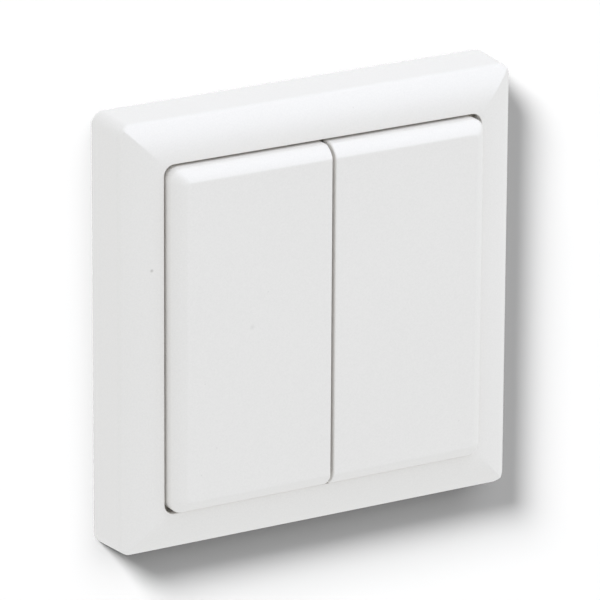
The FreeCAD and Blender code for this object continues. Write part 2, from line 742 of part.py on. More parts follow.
def make_switch_carrier():
    body = new_body("switch_carrier")
    half_x = at.open_x + dim.carrier_overlap
    half_z = at.open_z + dim.carrier_overlap
    plate = front_sketch(body, "plate", at.carrier_back)
    centred_square(plate, half_x, half_z, dim.carrier_corner)
    pad(plate, dim.carrier_thickness)

    rim = front_sketch(body, "rim", at.carrier_back - dim.rim_reach)
    centred_square(rim, half_x, half_z, dim.carrier_corner)
    centred_square(rim, half_x - dim.rim_wall, half_z - dim.rim_wall, dim.carrier_corner - dim.rim_wall)
    pad(rim, dim.rim_reach + MERGE)

    posts = front_sketch(body, "posts", at.board_front)
    holes = front_sketch(body, "screw_holes", at.carrier_front)
    sinks = front_sketch(body, "head_sinks", at.carrier_front)
    for point in screw_places():
        circle(posts, point, dim.post_radius)
        circle(holes, point, dim.screw_radius + dim.screw_clearance)
        circle(sinks, point, dim.head_radius + dim.head_clearance)
    pad(posts, at.carrier_back + MERGE - at.board_front)
    pocket(holes, at.carrier_front - at.board_front)
    pocket(sinks, dim.head_sink)

    ribs = front_sketch(body, "ribs", at.carrier_back - dim.carrier_rib_reach)
    rib_x = at.screw_x + dim.post_radius + dim.rib_room
    for low in (rib_x, -rib_x - dim.carrier_rib):
        rectangle(ribs, low, low + dim.carrier_rib, -half_z + dim.rim_wall / 2, half_z - dim.rim_wall / 2)
    pad(ribs, dim.carrier_rib_reach + MERGE)
    bridge = front_sketch(body, "bridge_rib", at.carrier_back - dim.carrier_rib_reach)
    bridge_z = dim.bridge_height / 2 - dim.rib_room
    rectangle(bridge, -rib_x - MERGE, rib_x + MERGE, bridge_z - dim.carrier_rib, bridge_z)
    pad(bridge, dim.carrier_rib_reach + MERGE)

    windows = front_sketch(body, "windows", at.carrier_front)
    circle(windows, (0, at.cell_z), at.window_radius)
    for point in switch_places():
        circle(windows, point, dim.plunger_radius + dim.plunger_window)
    pocket(windows, dim.carrier_thickness)
    strap_window = front_sketch(body, "strap_window", at.carrier_front)
    half_x = at.strap_x + dim.strap_room
    half_z = dim.strap_width / 2 + dim.strap_room
    rectangle(strap_window, -half_x, half_x, at.cell_z - half_z, at.cell_z + half_z)
    pocket(strap_window, dim.carrier_thickness)

    ear_inner = at.inner_x + dim.rocker_wall + dim.ear_gap
    ear_outer = at.rocker_x - dim.rocker_wall - dim.ear_gap - dim.ear_thickness
    ear_front = at.pivot + dim.ear_grip
    ear_starts = [
        ("right_inner_ear", ear_inner),
        ("right_outer_ear", ear_outer),
        ("left_inner_ear", -ear_inner - dim.ear_thickness),
        ("left_outer_ear", -ear_outer - dim.ear_thickness),
    ]
    for name, start in ear_starts:
        ear = side_sketch(body, name, start)
        rectangle(ear, -ear_front, -at.carrier_front + MERGE, -dim.ear_width / 2, dim.ear_width / 2)
        pad(ear, dim.ear_thickness)
    bearing = side_sketch(body, "bearings")
    circle(bearing, (-at.pivot, 0), dim.trunnion_radius + dim.bearing_clearance)
    cut_through(bearing)

    mouth_y = -ear_front.value
    half_mouth = dim.ear_width.value / 4

    def at_mouth(edge, middle):
        return near(middle.y, mouth_y) and abs(middle.z) < half_mouth and edge.BoundBox.ZLength < half_mouth

    chamfer(body, dim.ear_lead, at_mouth)
    return body


# Wall plate


def snap_arm_section(sketch, place, sign, face):
    """A snap arm that rises from the plate, with a nose that catches over the frame's ledge."""
    tip = dim.nose_depth + dim.nose_height
    points = [
        place(sign * (face - dim.arm_thickness), dim.plate_thickness - MERGE),
        place(sign * face, dim.plate_thickness - MERGE),
        place(sign * face, dim.nose_depth),
        place(sign * (face + dim.nose_reach), dim.nose_depth),
        place(sign * face, tip),
        place(sign * (face - dim.arm_thickness), tip),
    ]
    outline(sketch, points)


def make_wall_plate():
    body = new_body("wall_plate")
    half_x = at.half_width - dim.frame_wall - dim.plate_gap
    half_z = at.half_height - dim.frame_wall - dim.plate_gap
    plate = front_sketch(body, "plate")
    centred_square(plate, half_x, half_z, dim.plate_corner)
    pad(plate, dim.plate_thickness)

    bosses = front_sketch(body, "bosses", dim.plate_thickness - MERGE)
    for point in screw_places():
        circle(bosses, point, dim.boss_radius)
    pad(bosses, dim.boss_height + MERGE)
    support = front_sketch(body, "board_support", dim.plate_thickness - MERGE)
    rectangle(support, -at.switch_x, at.switch_x, -dim.rib_width / 2, dim.rib_width / 2)
    pad(support, dim.boss_height + MERGE)

    rim = front_sketch(body, "rim", dim.plate_thickness - MERGE)
    centred_square(rim, half_x, half_z, dim.plate_corner)
    rim_x = half_x - dim.plate_rim_wall
    rim_z = half_z - dim.plate_rim_wall
    rectangle(rim, -rim_x, rim_x, -rim_z, rim_z)
    pad(rim, dim.plate_rim_height + MERGE)
    rim_gaps = front_sketch(body, "rim_gaps", dim.plate_thickness + dim.plate_rim_height)
    half_gap = dim.arm_width / 2 + dim.arm_relief
    rectangle(rim_gaps, rim_x - PAST, half_x + PAST, -half_gap, half_gap)
    rectangle(rim_gaps, -half_x - PAST, -rim_x + PAST, -half_gap, half_gap)
    rectangle(rim_gaps, -half_gap, half_gap, rim_z - PAST, half_z + PAST)
    rectangle(rim_gaps, -half_gap, half_gap, -half_z - PAST, -rim_z + PAST)
    pocket(rim_gaps, dim.plate_rim_height)

    pilot = front_sketch(body, "pilot_holes", at.board_back)
    for point in screw_places():
        circle(pilot, point, dim.screw_radius + dim.thread_gap)
    pocket(pilot, at.board_back - dim.screw_tip_floor)

    slots = front_sketch(body, "screw_slots", dim.plate_thickness)
    for sign in (-1, 1):
        slot(slots, (sign * dim.slot_spacing / 2, 0), dim.slot_length, dim.slot_radius)
    pocket(slots, dim.plate_thickness)

    side_arms = top_sketch(body, "side_arms")
    end_arms = side_sketch(body, "end_arms")
    for sign in (-1, 1):
        snap_arm_section(side_arms, on_top, sign, at.arm_face_x)
        snap_arm_section(end_arms, on_side, sign, at.arm_face_z)
    pad(side_arms, dim.arm_width, symmetric=True)
    pad(end_arms, dim.arm_width, symmetric=True)

    relief = front_sketch(body, "arm_reliefs", dim.plate_thickness)
    near_edge = dim.arm_width / 2
    far_edge = near_edge + dim.arm_relief
    root_x = at.arm_face_x - dim.arm_thickness - PAST
    root_z = at.arm_face_z - dim.arm_thickness - PAST
    for sign in (-1, 1):
        low, high = (near_edge, far_edge) if sign > 0 else (-far_edge, -near_edge)
        rectangle(relief, root_x, half_x + PAST, low, high)
        rectangle(relief, -half_x - PAST, -root_x, low, high)
        rectangle(relief, low, high, root_z, half_z + PAST)
        rectangle(relief, low, high, -half_z - PAST, -root_z)
    pocket(relief, dim.plate_thickness)
    return body


# Circuit board and what is on it


def make_circuit_board():
    body = new_body("circuit_board")
    plan = front_sketch(body, "plan", at.board_back)
    centred_square(plan, at.board_x, at.board_z, dim.board_corner)
    pad(plan, dim.board_thickness)
    holes = front_sketch(body, "screw_holes", at.board_front)
    for point in screw_places():
        circle(holes, point, dim.screw_radius + dim.screw_clearance)
    pocket(holes, dim.board_thickness)
    return body


def make_module_screws():
    """Four pan-head screws through carrier and board into the wall plate's bosses."""
    body = new_body("module_screws")
    tip = dim.screw_tip_floor + dim.catch_gap
    head_front = at.head_seat + dim.head_height
    shanks = front_sketch(body, "shanks", tip)
    heads = front_sketch(body, "heads", at.head_seat)
    recesses = front_sketch(body, "recesses", head_front)
    uprights = front_sketch(body, "upright_recesses", head_front)
    half_length = dim.recess_length / 2
    half_width = dim.recess_width / 2
    for x, z in screw_places():
        circle(shanks, (x, z), dim.screw_radius)
        circle(heads, (x, z), dim.head_radius)
        rectangle(recesses, x - half_length, x + half_length, z - half_width, z + half_width)
        rectangle(uprights, x - half_width, x + half_width, z - half_length, z + half_length)
    pad(shanks, at.head_seat - tip)
    pad(heads, dim.head_height)
    chamfer(body, dim.head_edge, lambda edge, middle: near(middle.y, -head_front.value))
    pocket(recesses, dim.recess_depth)
    pocket(uprights, dim.recess_depth)
    return body


def put_at(body, x, z):
    """Moves a piece that is drawn on its own axis to its place on the board."""
    bind(body, "Placement.Base.x", x)
    bind(body, "Placement.Base.z", z)


def make_switch_body(name, x, z):
    body = new_body(f"switch_body_{name}")
    half = dim.switch_size / 2
    plan = front_sketch(body, "plan", at.board_front)
    centred_square(plan, half, half, dim.switch_corner)
    pad(plan, dim.switch_height)
    well = front_sketch(body, "well", at.switch_front)
    circle(well, (0, 0), dim.flange_radius + dim.flange_clearance)
    pocket(well, dim.switch_height - dim.switch_floor)
    put_at(body, x, z)
    return body


def make_switch_cover(name, x, z):
    body = new_body(f"switch_cover_{name}")
    half = dim.switch_size / 2
    lid = front_sketch(body, "lid", at.switch_front)
    rectangle(lid, -half - dim.cover_sheet, half + dim.cover_sheet, -half, half)
    circle(lid, (0, 0), dim.plunger_radius + dim.plunger_clearance)
    pad(lid, dim.cover_sheet)
    tabs = front_sketch(body, "tabs", at.cover_front - dim.cover_tab_reach)
    half_tab = dim.cover_tab / 2
    rectangle(tabs, half, half + dim.cover_sheet, -half_tab, half_tab)
    rectangle(tabs, -half - dim.cover_sheet, -half, -half_tab, half_tab)
    pad(tabs, dim.cover_tab_reach)
    put_at(body, x, z)
    return body


def make_switch_terminals():
    """The angled terminals of the four push switches, each a separate solid."""
    body = new_body("switch_terminals")
    half = dim.switch_size / 2
    front = at.board_front + dim.terminal_sheet
    section = [
        (half, at.board_front),
        (half + dim.terminal_foot, at.board_front),
        (half + dim.terminal_foot, front),
        (half + dim.terminal_sheet, front),
        (half + dim.terminal_sheet, at.board_front + dim.terminal_rise),
        (half, at.board_front + dim.terminal_rise),
    ]
    for side, sx in SIDES.items():
        for column, across in (("inner", -1), ("outer", 1)):
            middle = sx * at.switch_x + across * dim.terminal_pitch / 2
            row = side_sketch(body, f"{side}_{column}", middle - dim.terminal_width / 2)
            for sz in ENDS.values():
                for facing in ENDS.values():
                    points = [(sz * dim.switch_rise + facing * z, depth) for z, depth in section]
                    outline(row, [on_side(z, depth) for z, depth in points])
            pad(row, dim.terminal_width)
    return body


def make_plunger(name, x, z):
    body = new_body(f"plunger_{name}")
    section = top_sketch(body, "section")
    radii_and_depths = [
        (0, at.flange_back),
        (dim.flange_radius, at.flange_back),
        (dim.flange_radius, at.flange_front),
        (dim.plunger_radius, at.flange_front),
        (dim.plunger_radius, at.plunger_top - dim.plunger_edge),
        (dim.plunger_radius - dim.plunger_edge, at.plunger_top),
        (0, at.plunger_top),
    ]
    outline(section, [on_top(radius, depth) for radius, depth in radii_and_depths])
    revolve(section)
    put_at(body, x, z)
    return body


def make_return_dome(name, x, z):
    body = new_body(f"return_dome_{name}")
    top = at.flange_back - dim.dome_gap
    section = top_sketch(body, "section")
    radii_and_depths = [
        (0, top - dim.dome_wall),
        (dim.dome_top - dim.dome_wall, top - dim.dome_wall),
        (dim.dome_radius - dim.dome_wall, at.switch_inside),
        (dim.dome_radius, at.switch_inside),
        (dim.dome_radius, at.switch_inside + dim.dome_wall),
        (dim.dome_top, top),
        (0, top),
    ]
    outline(section, [on_top(radius, depth) for radius, depth in radii_and_depths])
    revolve(section)
    put_at(body, x, z)
    return body


def make_coin_cell():
    body = new_body("coin_cell")
    section = top_sketch(body, "section")
    radius = dim.cell_diameter / 2
    cap_front = at.cell_back + dim.cell_cap_height
    radii_and_depths = [
        (0, at.cell_back),
        (dim.cell_cap / 2 - dim.cell_edge, at.cell_back),
        (dim.cell_cap / 2, cap_front),
        (radius - dim.cell_edge, cap_front),
        (radius, cap_front + dim.cell_edge),
        (radius, at.cell_front - dim.cell_edge),
        (radius - dim.cell_edge, at.cell_front),
        (0, at.cell_front),
    ]
    outline(section, [on_top(r, depth) for r, depth in radii_and_depths])
    revolve(section)
    put_at(body, 0, at.cell_z)
    return body


def make_battery_holder():
    body = new_body("battery_holder")
    base = front_sketch(body, "base", at.board_front)
    circle(base, (0, 0), at.holder_radius)
    circle(base, (0, 0), dim.holder_window)
    pad(base, dim.holder_height)
    well = front_sketch(body, "well", at.board_front + dim.holder_height)
    circle(well, (0, 0), at.holder_bore)
    pocket(well, dim.holder_height - dim.holder_floor)
    notch = front_sketch(body, "pry_notch", at.board_front + dim.holder_height)
    rectangle(notch, -dim.pry_width / 2, dim.pry_width / 2, -at.holder_radius - PAST, -dim.pry_width)
    pocket(notch, dim.holder_height - dim.holder_floor)
    put_at(body, 0, at.cell_z)
    return body


def make_battery_strap():
    body = new_body("battery_strap")
    outside = at.strap_x
    inside = outside - dim.strap_sheet
    under = at.cell_front + dim.contact_gap
    over = under + dim.strap_sheet
    points = [
        (-outside, at.board_front),
        (-inside, at.board_front),
        (-inside, under),
        (inside, under),
        (inside, at.board_front),
        (outside, at.board_front),
        (outside, over),
        (-outside, over),
    ]
    section = top_sketch(body, "section")
    outline(section, [on_top(x, depth) for x, depth in points])
    pad(section, dim.strap_width, symmetric=True)
    fillet(
        body,
        dim.strap_bend,
        lambda edge, middle: near(abs(middle.x), outside.value) and near(middle.y, -over.value),
    )
    fillet(
        body,
        dim.strap_bend - dim.strap_sheet,
        lambda edge, middle: near(abs(middle.x), inside.value) and near(middle.y, -under.value),
    )
    put_at(body, 0, at.cell_z)
    return body


def make_battery_leaf():
    body = new_body("battery_leaf")
    half = dim.leaf_length / 2
    rise = dim.cell_lift - dim.leaf_sheet - dim.contact_gap
    radius = (half * half + rise * rise) / (2 * rise)
    front = at.board_front + dim.leaf_sheet
    points = [
        on_top(-half, at.board_front),
        on_top(half, at.board_front),
        on_top(half, front),
        on_top(-half, front),
    ]
    section = top_sketch(body, "section")
    outline(section, points, {0: (radius, -1), 2: (radius, 1)})
    pad(section, dim.leaf_width, symmetric=True)
    put_at(body, 0, at.cell_z)
    return body


def make_controller_chip():
    body = new_body("controller_chip")
    bottom = at.board_front + dim.chip_standoff
    half_length = dim.chip_length / 2
    half_width = dim.chip_width / 2
    case = front_sketch(body, "case", bottom)
    rectangle(case, -half_length, half_length, -half_width, half_width)
    pad(case, dim.chip_height)
    chamfer(
        body,
        dim.chip_standoff,
        lambda edge, middle: near(middle.y, -(bottom + dim.chip_height).value),
    )

    shoulder = bottom + dim.chip_height / 2
    bend = half_width + dim.lead_foot / 2
    foot = half_width + dim.lead_foot
    first_lead = dim.lead_pitch * (1 - CHIP_LEADS_PER_SIDE) / 2 - dim.lead_width / 2
    leads = side_sketch(body, "leads", first_lead)
    for sign in (-1, 1):
        points = [
            (half_width - MERGE, shoulder),
            (bend - dim.lead_sheet, shoulder),
            (bend - dim.lead_sheet, at.board_front),
            (foot, at.board_front),
            (foot, at.board_front + dim.lead_sheet),
            (bend, at.board_front + dim.lead_sheet),
            (bend, shoulder + dim.lead_sheet),
            (half_width - MERGE, shoulder + dim.lead_sheet),
        ]
        outline(leads, [on_side(sign * z, depth) for z, depth in points])
    lead_pair = pad(leads, dim.lead_width)
    doc.recompute()
    row = body.newObject("PartDesign::LinearPattern", "controller_chip_lead_row")
    row.Originals = [lead_pair]
    row.Direction = (leads, ["N_Axis"])
    row.Occurrences = CHIP_LEADS_PER_SIDE
    bind(row, "Length", dim.lead_pitch * (CHIP_LEADS_PER_SIDE - 1))
    body.Tip = row
    put_at(body, 0, dim.chip_place)
    return body


def make_resonator_can():
    body = new_body("resonator_can")
    base = front_sketch(body, "base", at.board_front)
    half_base = dim.can_size / 2
    centred_square(base, half_base, half_base, dim.switch_corner)
    pad(base, dim.can_base_height)
    lid = front_sketch(body, "lid", at.board_front)
    half_lid = dim.can_lid / 2
    centred_square(lid, half_lid, half_lid, dim.switch_corner)
    pad(lid, dim.can_height)
    put_at(body, 0, dim.can_place)
    return body


def make_antenna_wire():
    """A staple of round wire that stands on the board along its upper edge."""
    body = new_body("antenna_wire")
    half = dim.wire_span / 2
    top = at.board_front + dim.wire_rise
    points = [
        on_top(-half, at.board_front),
        on_top(-half, top - dim.wire_bend),
        on_top(-half + dim.wire_bend, top),
        on_top(half - dim.wire_bend, top),
        on_top(half, top - dim.wire_bend),
        on_top(half, at.board_front),
    ]
    spine = top_sketch(body, "spine")
    bend = (dim.wire_bend, -1)
    route(spine, points, {1: bend, 3: bend})
    ring = front_sketch(body, "ring", at.board_front)
    circle(ring, (-half, 0), dim.wire_radius)
    wire = body.newObject("PartDesign::AdditivePipe", "antenna_wire_pipe")
    wire.Profile = ring
    wire.Spine = (spine, [f"Edge{number}" for number in range(1, len(points))])
    put_at(body, 0, at.board_z - dim.wire_edge)
    return body


def make_chip_components():
    """Small resistors and capacitors on both sides of the resonator, each a separate solid."""
    body = new_body("chip_components")
    plan = front_sketch(body, "plan", at.board_front)
    half_x = dim.part_width / 2
    half_z = dim.part_length / 2
    for sign in SIDES.values():
        for column in range(PART_COLUMNS):
            x = sign * (dim.can_size + column * dim.part_pitch)
            for row in range(PART_ROWS):
                z = dim.can_place + (row - (PART_ROWS - 1) / 2) * dim.part_pitch
                rectangle(plan, x - half_x, x + half_x, z - half_z, z + half_z)
    pad(plan, dim.part_height)
    return body


def make_switches():
    """The four push switches, each of a housing, a cover, a plunger and a return dome."""
    pieces = []
    for side, sx in SIDES.items():
        for end, sz in ENDS.items():
            name = f"{side}_{end}"
            x, z = sx * at.switch_x, sz * dim.switch_rise
            pieces.append(make_switch_body(name, x, z))
            pieces.append(make_switch_cover(name, x, z))
            pieces.append(make_plunger(name, x, z))
            pieces.append(make_return_dome(name, x, z))
    return pieces


# Checks and export


def check_document(pieces):
    """Stops if an object failed, a cut took nothing away or a piece has no valid shape."""
    doc.recompute()
    for thing in doc.Objects:
        if {"Invalid", "Error"} & set(thing.State):
            raise RuntimeError(f"{thing.Label} failed: {thing.State}")
        if thing.TypeId == "PartDesign::Pocket":
            if thing.Shape.Volume > thing.BaseFeature.Shape.Volume - 1e-6:
                raise RuntimeError(f"{thing.Label} cuts nothing")
    for piece in pieces:
        if piece.Shape.isNull() or not piece.Shape.isValid():
            raise RuntimeError(f"{piece.Label} has no valid shape")


def main():
    pieces = [
        make_cover_frame(),
        make_rocker("left"),
        make_rocker("right"),
        make_switch_carrier(),
        make_wall_plate(),
        make_circuit_board(),
        make_module_screws(),
        *make_switches(),
        make_switch_terminals(),
        make_coin_cell(),
        make_battery_holder(),
        make_battery_strap(),
        make_battery_leaf(),
        make_controller_chip(),
        make_resonator_can(),
        make_antenna_wire(),
        make_chip_components(),
    ]
    check_document(pieces)
    os.makedirs("parts", exist_ok=True)
    for piece in pieces:
        piece.Shape.exportStep(f"parts/{piece.Label}.step")
        box = piece.Shape.BoundBox
        print(
            f"{piece.Label}: {len(piece.Shape.Solids)} solid, {piece.Shape.Volume:.1f} mm3,"
            f" x {box.XMin:.2f} to {box.XMax:.2f}, y {box.YMin:.2f} to {box.YMax:.2f},"
            f" z {box.ZMin:.2f} to {box.ZMax:.2f}"
        )


main()
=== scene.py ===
"""Wireless wall switch: the visible pieces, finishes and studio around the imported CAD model.

Metres. X runs to the right as seen from the room, Y into the wall and Z up, with the origin in the middle of
the back face. A depth is measured forward from the wall, so it lies along -Y.
"""

import json
import math
from typing import NamedTuple

import bmesh
import bpy
from bpy.props import FloatProperty, FloatVectorProperty, PointerProperty
from mathutils import Matrix, Vector


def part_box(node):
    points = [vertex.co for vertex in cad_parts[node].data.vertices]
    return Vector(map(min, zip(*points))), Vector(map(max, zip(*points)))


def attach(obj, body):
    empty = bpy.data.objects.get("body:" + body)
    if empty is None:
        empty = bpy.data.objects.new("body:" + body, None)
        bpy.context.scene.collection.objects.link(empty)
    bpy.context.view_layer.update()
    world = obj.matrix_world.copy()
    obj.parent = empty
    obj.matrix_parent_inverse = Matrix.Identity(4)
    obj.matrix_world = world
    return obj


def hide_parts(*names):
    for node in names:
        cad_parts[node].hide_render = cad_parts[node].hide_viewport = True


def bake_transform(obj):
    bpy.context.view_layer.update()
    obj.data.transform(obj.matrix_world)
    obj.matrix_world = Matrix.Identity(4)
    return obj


bl_info = {
    "name": "Wireless Wall Switch",
    "version": (1, 0, 0),
    "blender": (4, 5, 0),
    "location": "3D View > Sidebar > Wall Switch",
    "description": "Builds the mouldings, finishes and studio of a wireless wall switch",
    "category": "Object",
}

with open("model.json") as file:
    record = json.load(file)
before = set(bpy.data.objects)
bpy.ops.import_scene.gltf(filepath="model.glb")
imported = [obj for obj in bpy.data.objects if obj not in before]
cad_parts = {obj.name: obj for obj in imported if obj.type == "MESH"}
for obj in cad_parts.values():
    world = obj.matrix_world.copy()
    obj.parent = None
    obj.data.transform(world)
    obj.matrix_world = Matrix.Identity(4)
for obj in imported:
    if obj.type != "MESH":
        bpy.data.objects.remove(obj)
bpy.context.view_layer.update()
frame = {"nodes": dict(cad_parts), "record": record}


def middle_of(node):
    """The middle of a CAD node's box at rest."""
    low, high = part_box(node)
    return (low + high) / 2


FRAME_LOW, FRAME_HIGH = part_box("cover_frame")
ROCKER_LOW, ROCKER_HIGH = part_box("right_rocker")
SWITCH_MIDDLE = middle_of("plunger_right_top")
CELL_MIDDLE = middle_of("coin_cell")
CHIP_MIDDLE = middle_of("controller_chip")
PARTS_MIDDLE = middle_of("chip_components")

MM = 0.001
SIDES = {"left": -1, "right": 1}
ENDS = {"top": 1, "bottom": -1}
SWITCHES = [f"{side}_{end}" for side in SIDES for end in ENDS]

CORNER_SEGMENTS = 8
SLOPE_RINGS = 14
HOLLOW_RINGS = 5
BEVEL_RINGS = 8
BLEND_RINGS = 5
EDGE_SEGMENTS = 4
DOME_EDGE_SEGMENTS = 2
DOME_STEPS = 32
ROUND_STEPS = 32
SHARP_ANGLE = math.radians(38)
MERGE_DISTANCE = 1e-6
UPRIGHT = Matrix.Rotation(math.radians(90), 4, "X")


# Settings


def length(name, description, default):
    return FloatProperty(
        name=name, description=description, default=default, min=0.0, precision=5, unit="LENGTH"
    )


def angle(name, description, degrees):
    return FloatProperty(
        name=name, description=description, default=math.radians(degrees), subtype="ANGLE", unit="ROTATION"
    )


def amount(name, description, default):
    return FloatProperty(name=name, description=description, default=default, min=0.0)


def power(name, description, default):
    return FloatProperty(name=name, description=description, default=default, min=0.0, unit="POWER")


def colour(name, description, default):
    return FloatVectorProperty(
        name=name, description=description, default=default, size=3, min=0.0, max=1.0, subtype="COLOR"
    )


class CoverFrameSizes(bpy.types.PropertyGroup):
    """Sizes of the cover frame."""

    half_width: length("Half width", "Half of the frame's side at the wall", FRAME_HIGH.x)
    draft: length("Draft", "Lean of a side wall between wall and crease", 0.35 * MM)
    corner: length("Corner", "Corner radius of the side walls", 2.3 * MM)
    wall: length("Wall", "Wall thickness", 2.0 * MM)
    crease_depth: length("Crease depth", "Depth where side wall and slope meet", 8.7 * MM)
    crease_round: length("Crease rounding", "Width of the rounding on each side of the crease", 0.5 * MM)
    crown_depth: length("Crown depth", "Depth of the slope's crown", -FRAME_LOW.y)
    crown_half: length("Crown half", "Distance of the crown from the middle", 31.5 * MM)
    opening_half: length("Opening half", "Half of the opening's side", 32.2 * MM)
    opening_corner: length("Opening corner", "Corner radius of the opening", 2.0 * MM)
    opening_round: length("Opening rounding", "Rounding of the opening's front edge", 0.12 * MM)
    mitre: length("Mitre", "Radius in front view with which two slopes meet", 0.35 * MM)
    mitre_blend: length("Mitre blend", "Difference in depth over which two slopes blend", 0.08 * MM)
    collar_wall: length("Collar wall", "Thickness of the collar behind the opening", 1.2 * MM)
    collar_back: length("Collar back", "Depth of the collar's back edge", 9.0 * MM)
    hollow_corner: length("Hollow corner", "Corner radius inside the side walls", 0.3 * MM)
    ledge_back: length("Ledge back", "Depth of the back of the catch ledges", 3.5 * MM)
    ledge_front: length("Ledge front", "Depth of the front of the catch ledges", 4.9 * MM)
    ledge_half: length("Ledge half", "Half of a catch ledge's length", 5.0 * MM)
    ledge_reach: length("Ledge reach", "Reach of a catch ledge from the wall", 0.9 * MM)


class RockerSizes(bpy.types.PropertyGroup):
    """Sizes of the two rockers."""

    inner_x: length("Inner edge", "Edge at the centre gap", ROCKER_LOW.x)
    outer_x: length("Outer edge", "Edge at the frame", ROCKER_HIGH.x)
    half_height: length("Half height", "Half of a rocker's height", ROCKER_HIGH.z)
    front: length("Front", "Depth of the front face", -ROCKER_LOW.y)
    skirt_back: length("Skirt back", "Depth of the skirt's back edge", 10.4 * MM)
    wall: length("Wall", "Shell thickness", 1.8 * MM)
    bevel_width: length("Bevel width", "Width of a bevel seen from the front", 2.15 * MM)
    bevel_steep: angle("Bevel steep", "Tilt of the convex bevel at the skirt", 68)
    bevel_shallow: angle("Bevel shallow", "Tilt of the convex bevel at the front face", 23)
    bevel_blend: length("Bevel blend", "Rounding between bevel and front face", 1.0 * MM)
    pin_edge: length("Pin edge", "Rounding of the lugs' and trunnions' ends", 0.12 * MM)
    inner_edge: length("Inner edge rounding", "Rounding of the edge at the centre gap", 0.3 * MM)
    outer_corner: length("Outer corner", "Radius of the corners at the frame", 2.3 * MM)
    front_corner: length("Front corner", "Radius of the front face's outer corners", 0.75 * MM)
    inner_corner: length("Inner corner", "Radius of the corners at the centre gap", 0.5 * MM)
    hollow_corner: length("Hollow corner", "Corner radius inside the shell", 0.2 * MM)
    rib_width: length("Rib width", "Thickness of the stiffening ribs", 1.0 * MM)
    rib_height: length("Rib height", "Height of the stiffening ribs", 1.2 * MM)
    switch_x: length("Switch across", "Distance of the presser pips from the middle", SWITCH_MIDDLE.x)
    switch_z: length("Switch rise", "Distance of the presser pips from the pivot", SWITCH_MIDDLE.z)
    pip_radius: length("Pip radius", "Presser pip", 1.5 * MM)
    pip_round: length("Pip rounding", "Rounding of a presser pip's end", 1.1 * MM)
    pip_back: length("Pip back", "Depth of a presser pip's end", 10.65 * MM)
    pivot: length("Pivot", "Depth of the pivot axis", 11.0 * MM)
    lug_radius: length("Lug radius", "Lug round a trunnion's root", 1.9 * MM)
    trunnion_radius: length("Trunnion radius", "Trunnion pin", 1.2 * MM)
    trunnion_reach: length("Trunnion reach", "Reach of a trunnion from the shell", 2.65 * MM)
    overlap: length("Overlap", "How far ribs, pips and trunnions run into the shell", 0.4 * MM)


class DomeSizes(bpy.types.PropertyGroup):
    """Sizes of the rubber return domes."""

    foot_radius: length("Foot radius", "Radius of the foot", 2.1 * MM)
    top_radius: length("Top radius", "Radius of the flat top", 1.1 * MM)
    wall: length("Wall", "Rubber thickness", 0.35 * MM)
    edge: length("Edge", "Rounding of the dome's edges", 0.08 * MM)


class Colours(bpy.types.PropertyGroup):
    """Colours of the finishes."""

    white_plastic: colour("White plastic", "Frame and rockers", (0.868, 0.845, 0.81))
    inner_plastic: colour("Inner plastic", "Carrier and wall plate", (0.72, 0.67, 0.58))
    black_plastic: colour("Black plastic", "Switch housings, cell holder and chip", (0.028, 0.028, 0.031))
    plunger_plastic: colour("Plunger plastic", "Push switch plungers", (0.12, 0.12, 0.13))
    dome_rubber: colour("Dome rubber", "Return domes", (0.25, 0.26, 0.28))
    solder_mask: colour("Solder mask", "Lacquer of the board", (0.02, 0.15, 0.06))
    laminate: colour("Laminate", "Cut edges of the board", (0.42, 0.40, 0.22))
    tin: colour("Tin", "Tinned pads, leads and end caps", (0.66, 0.66, 0.64))
    steel: colour("Steel", "Plated sheet and screws", (0.70, 0.70, 0.68))
    cell_can: colour("Cell can", "Coin cell", (0.63, 0.62, 0.60))
    copper: colour("Copper", "Aerial wire", (0.72, 0.36, 0.18))
    ceramic: colour("Ceramic", "Small surface-mount parts", (0.40, 0.31, 0.22))
    speck: colour("Speck", "Dust and smudges on the white plastic", (0.22, 0.20, 0.17))


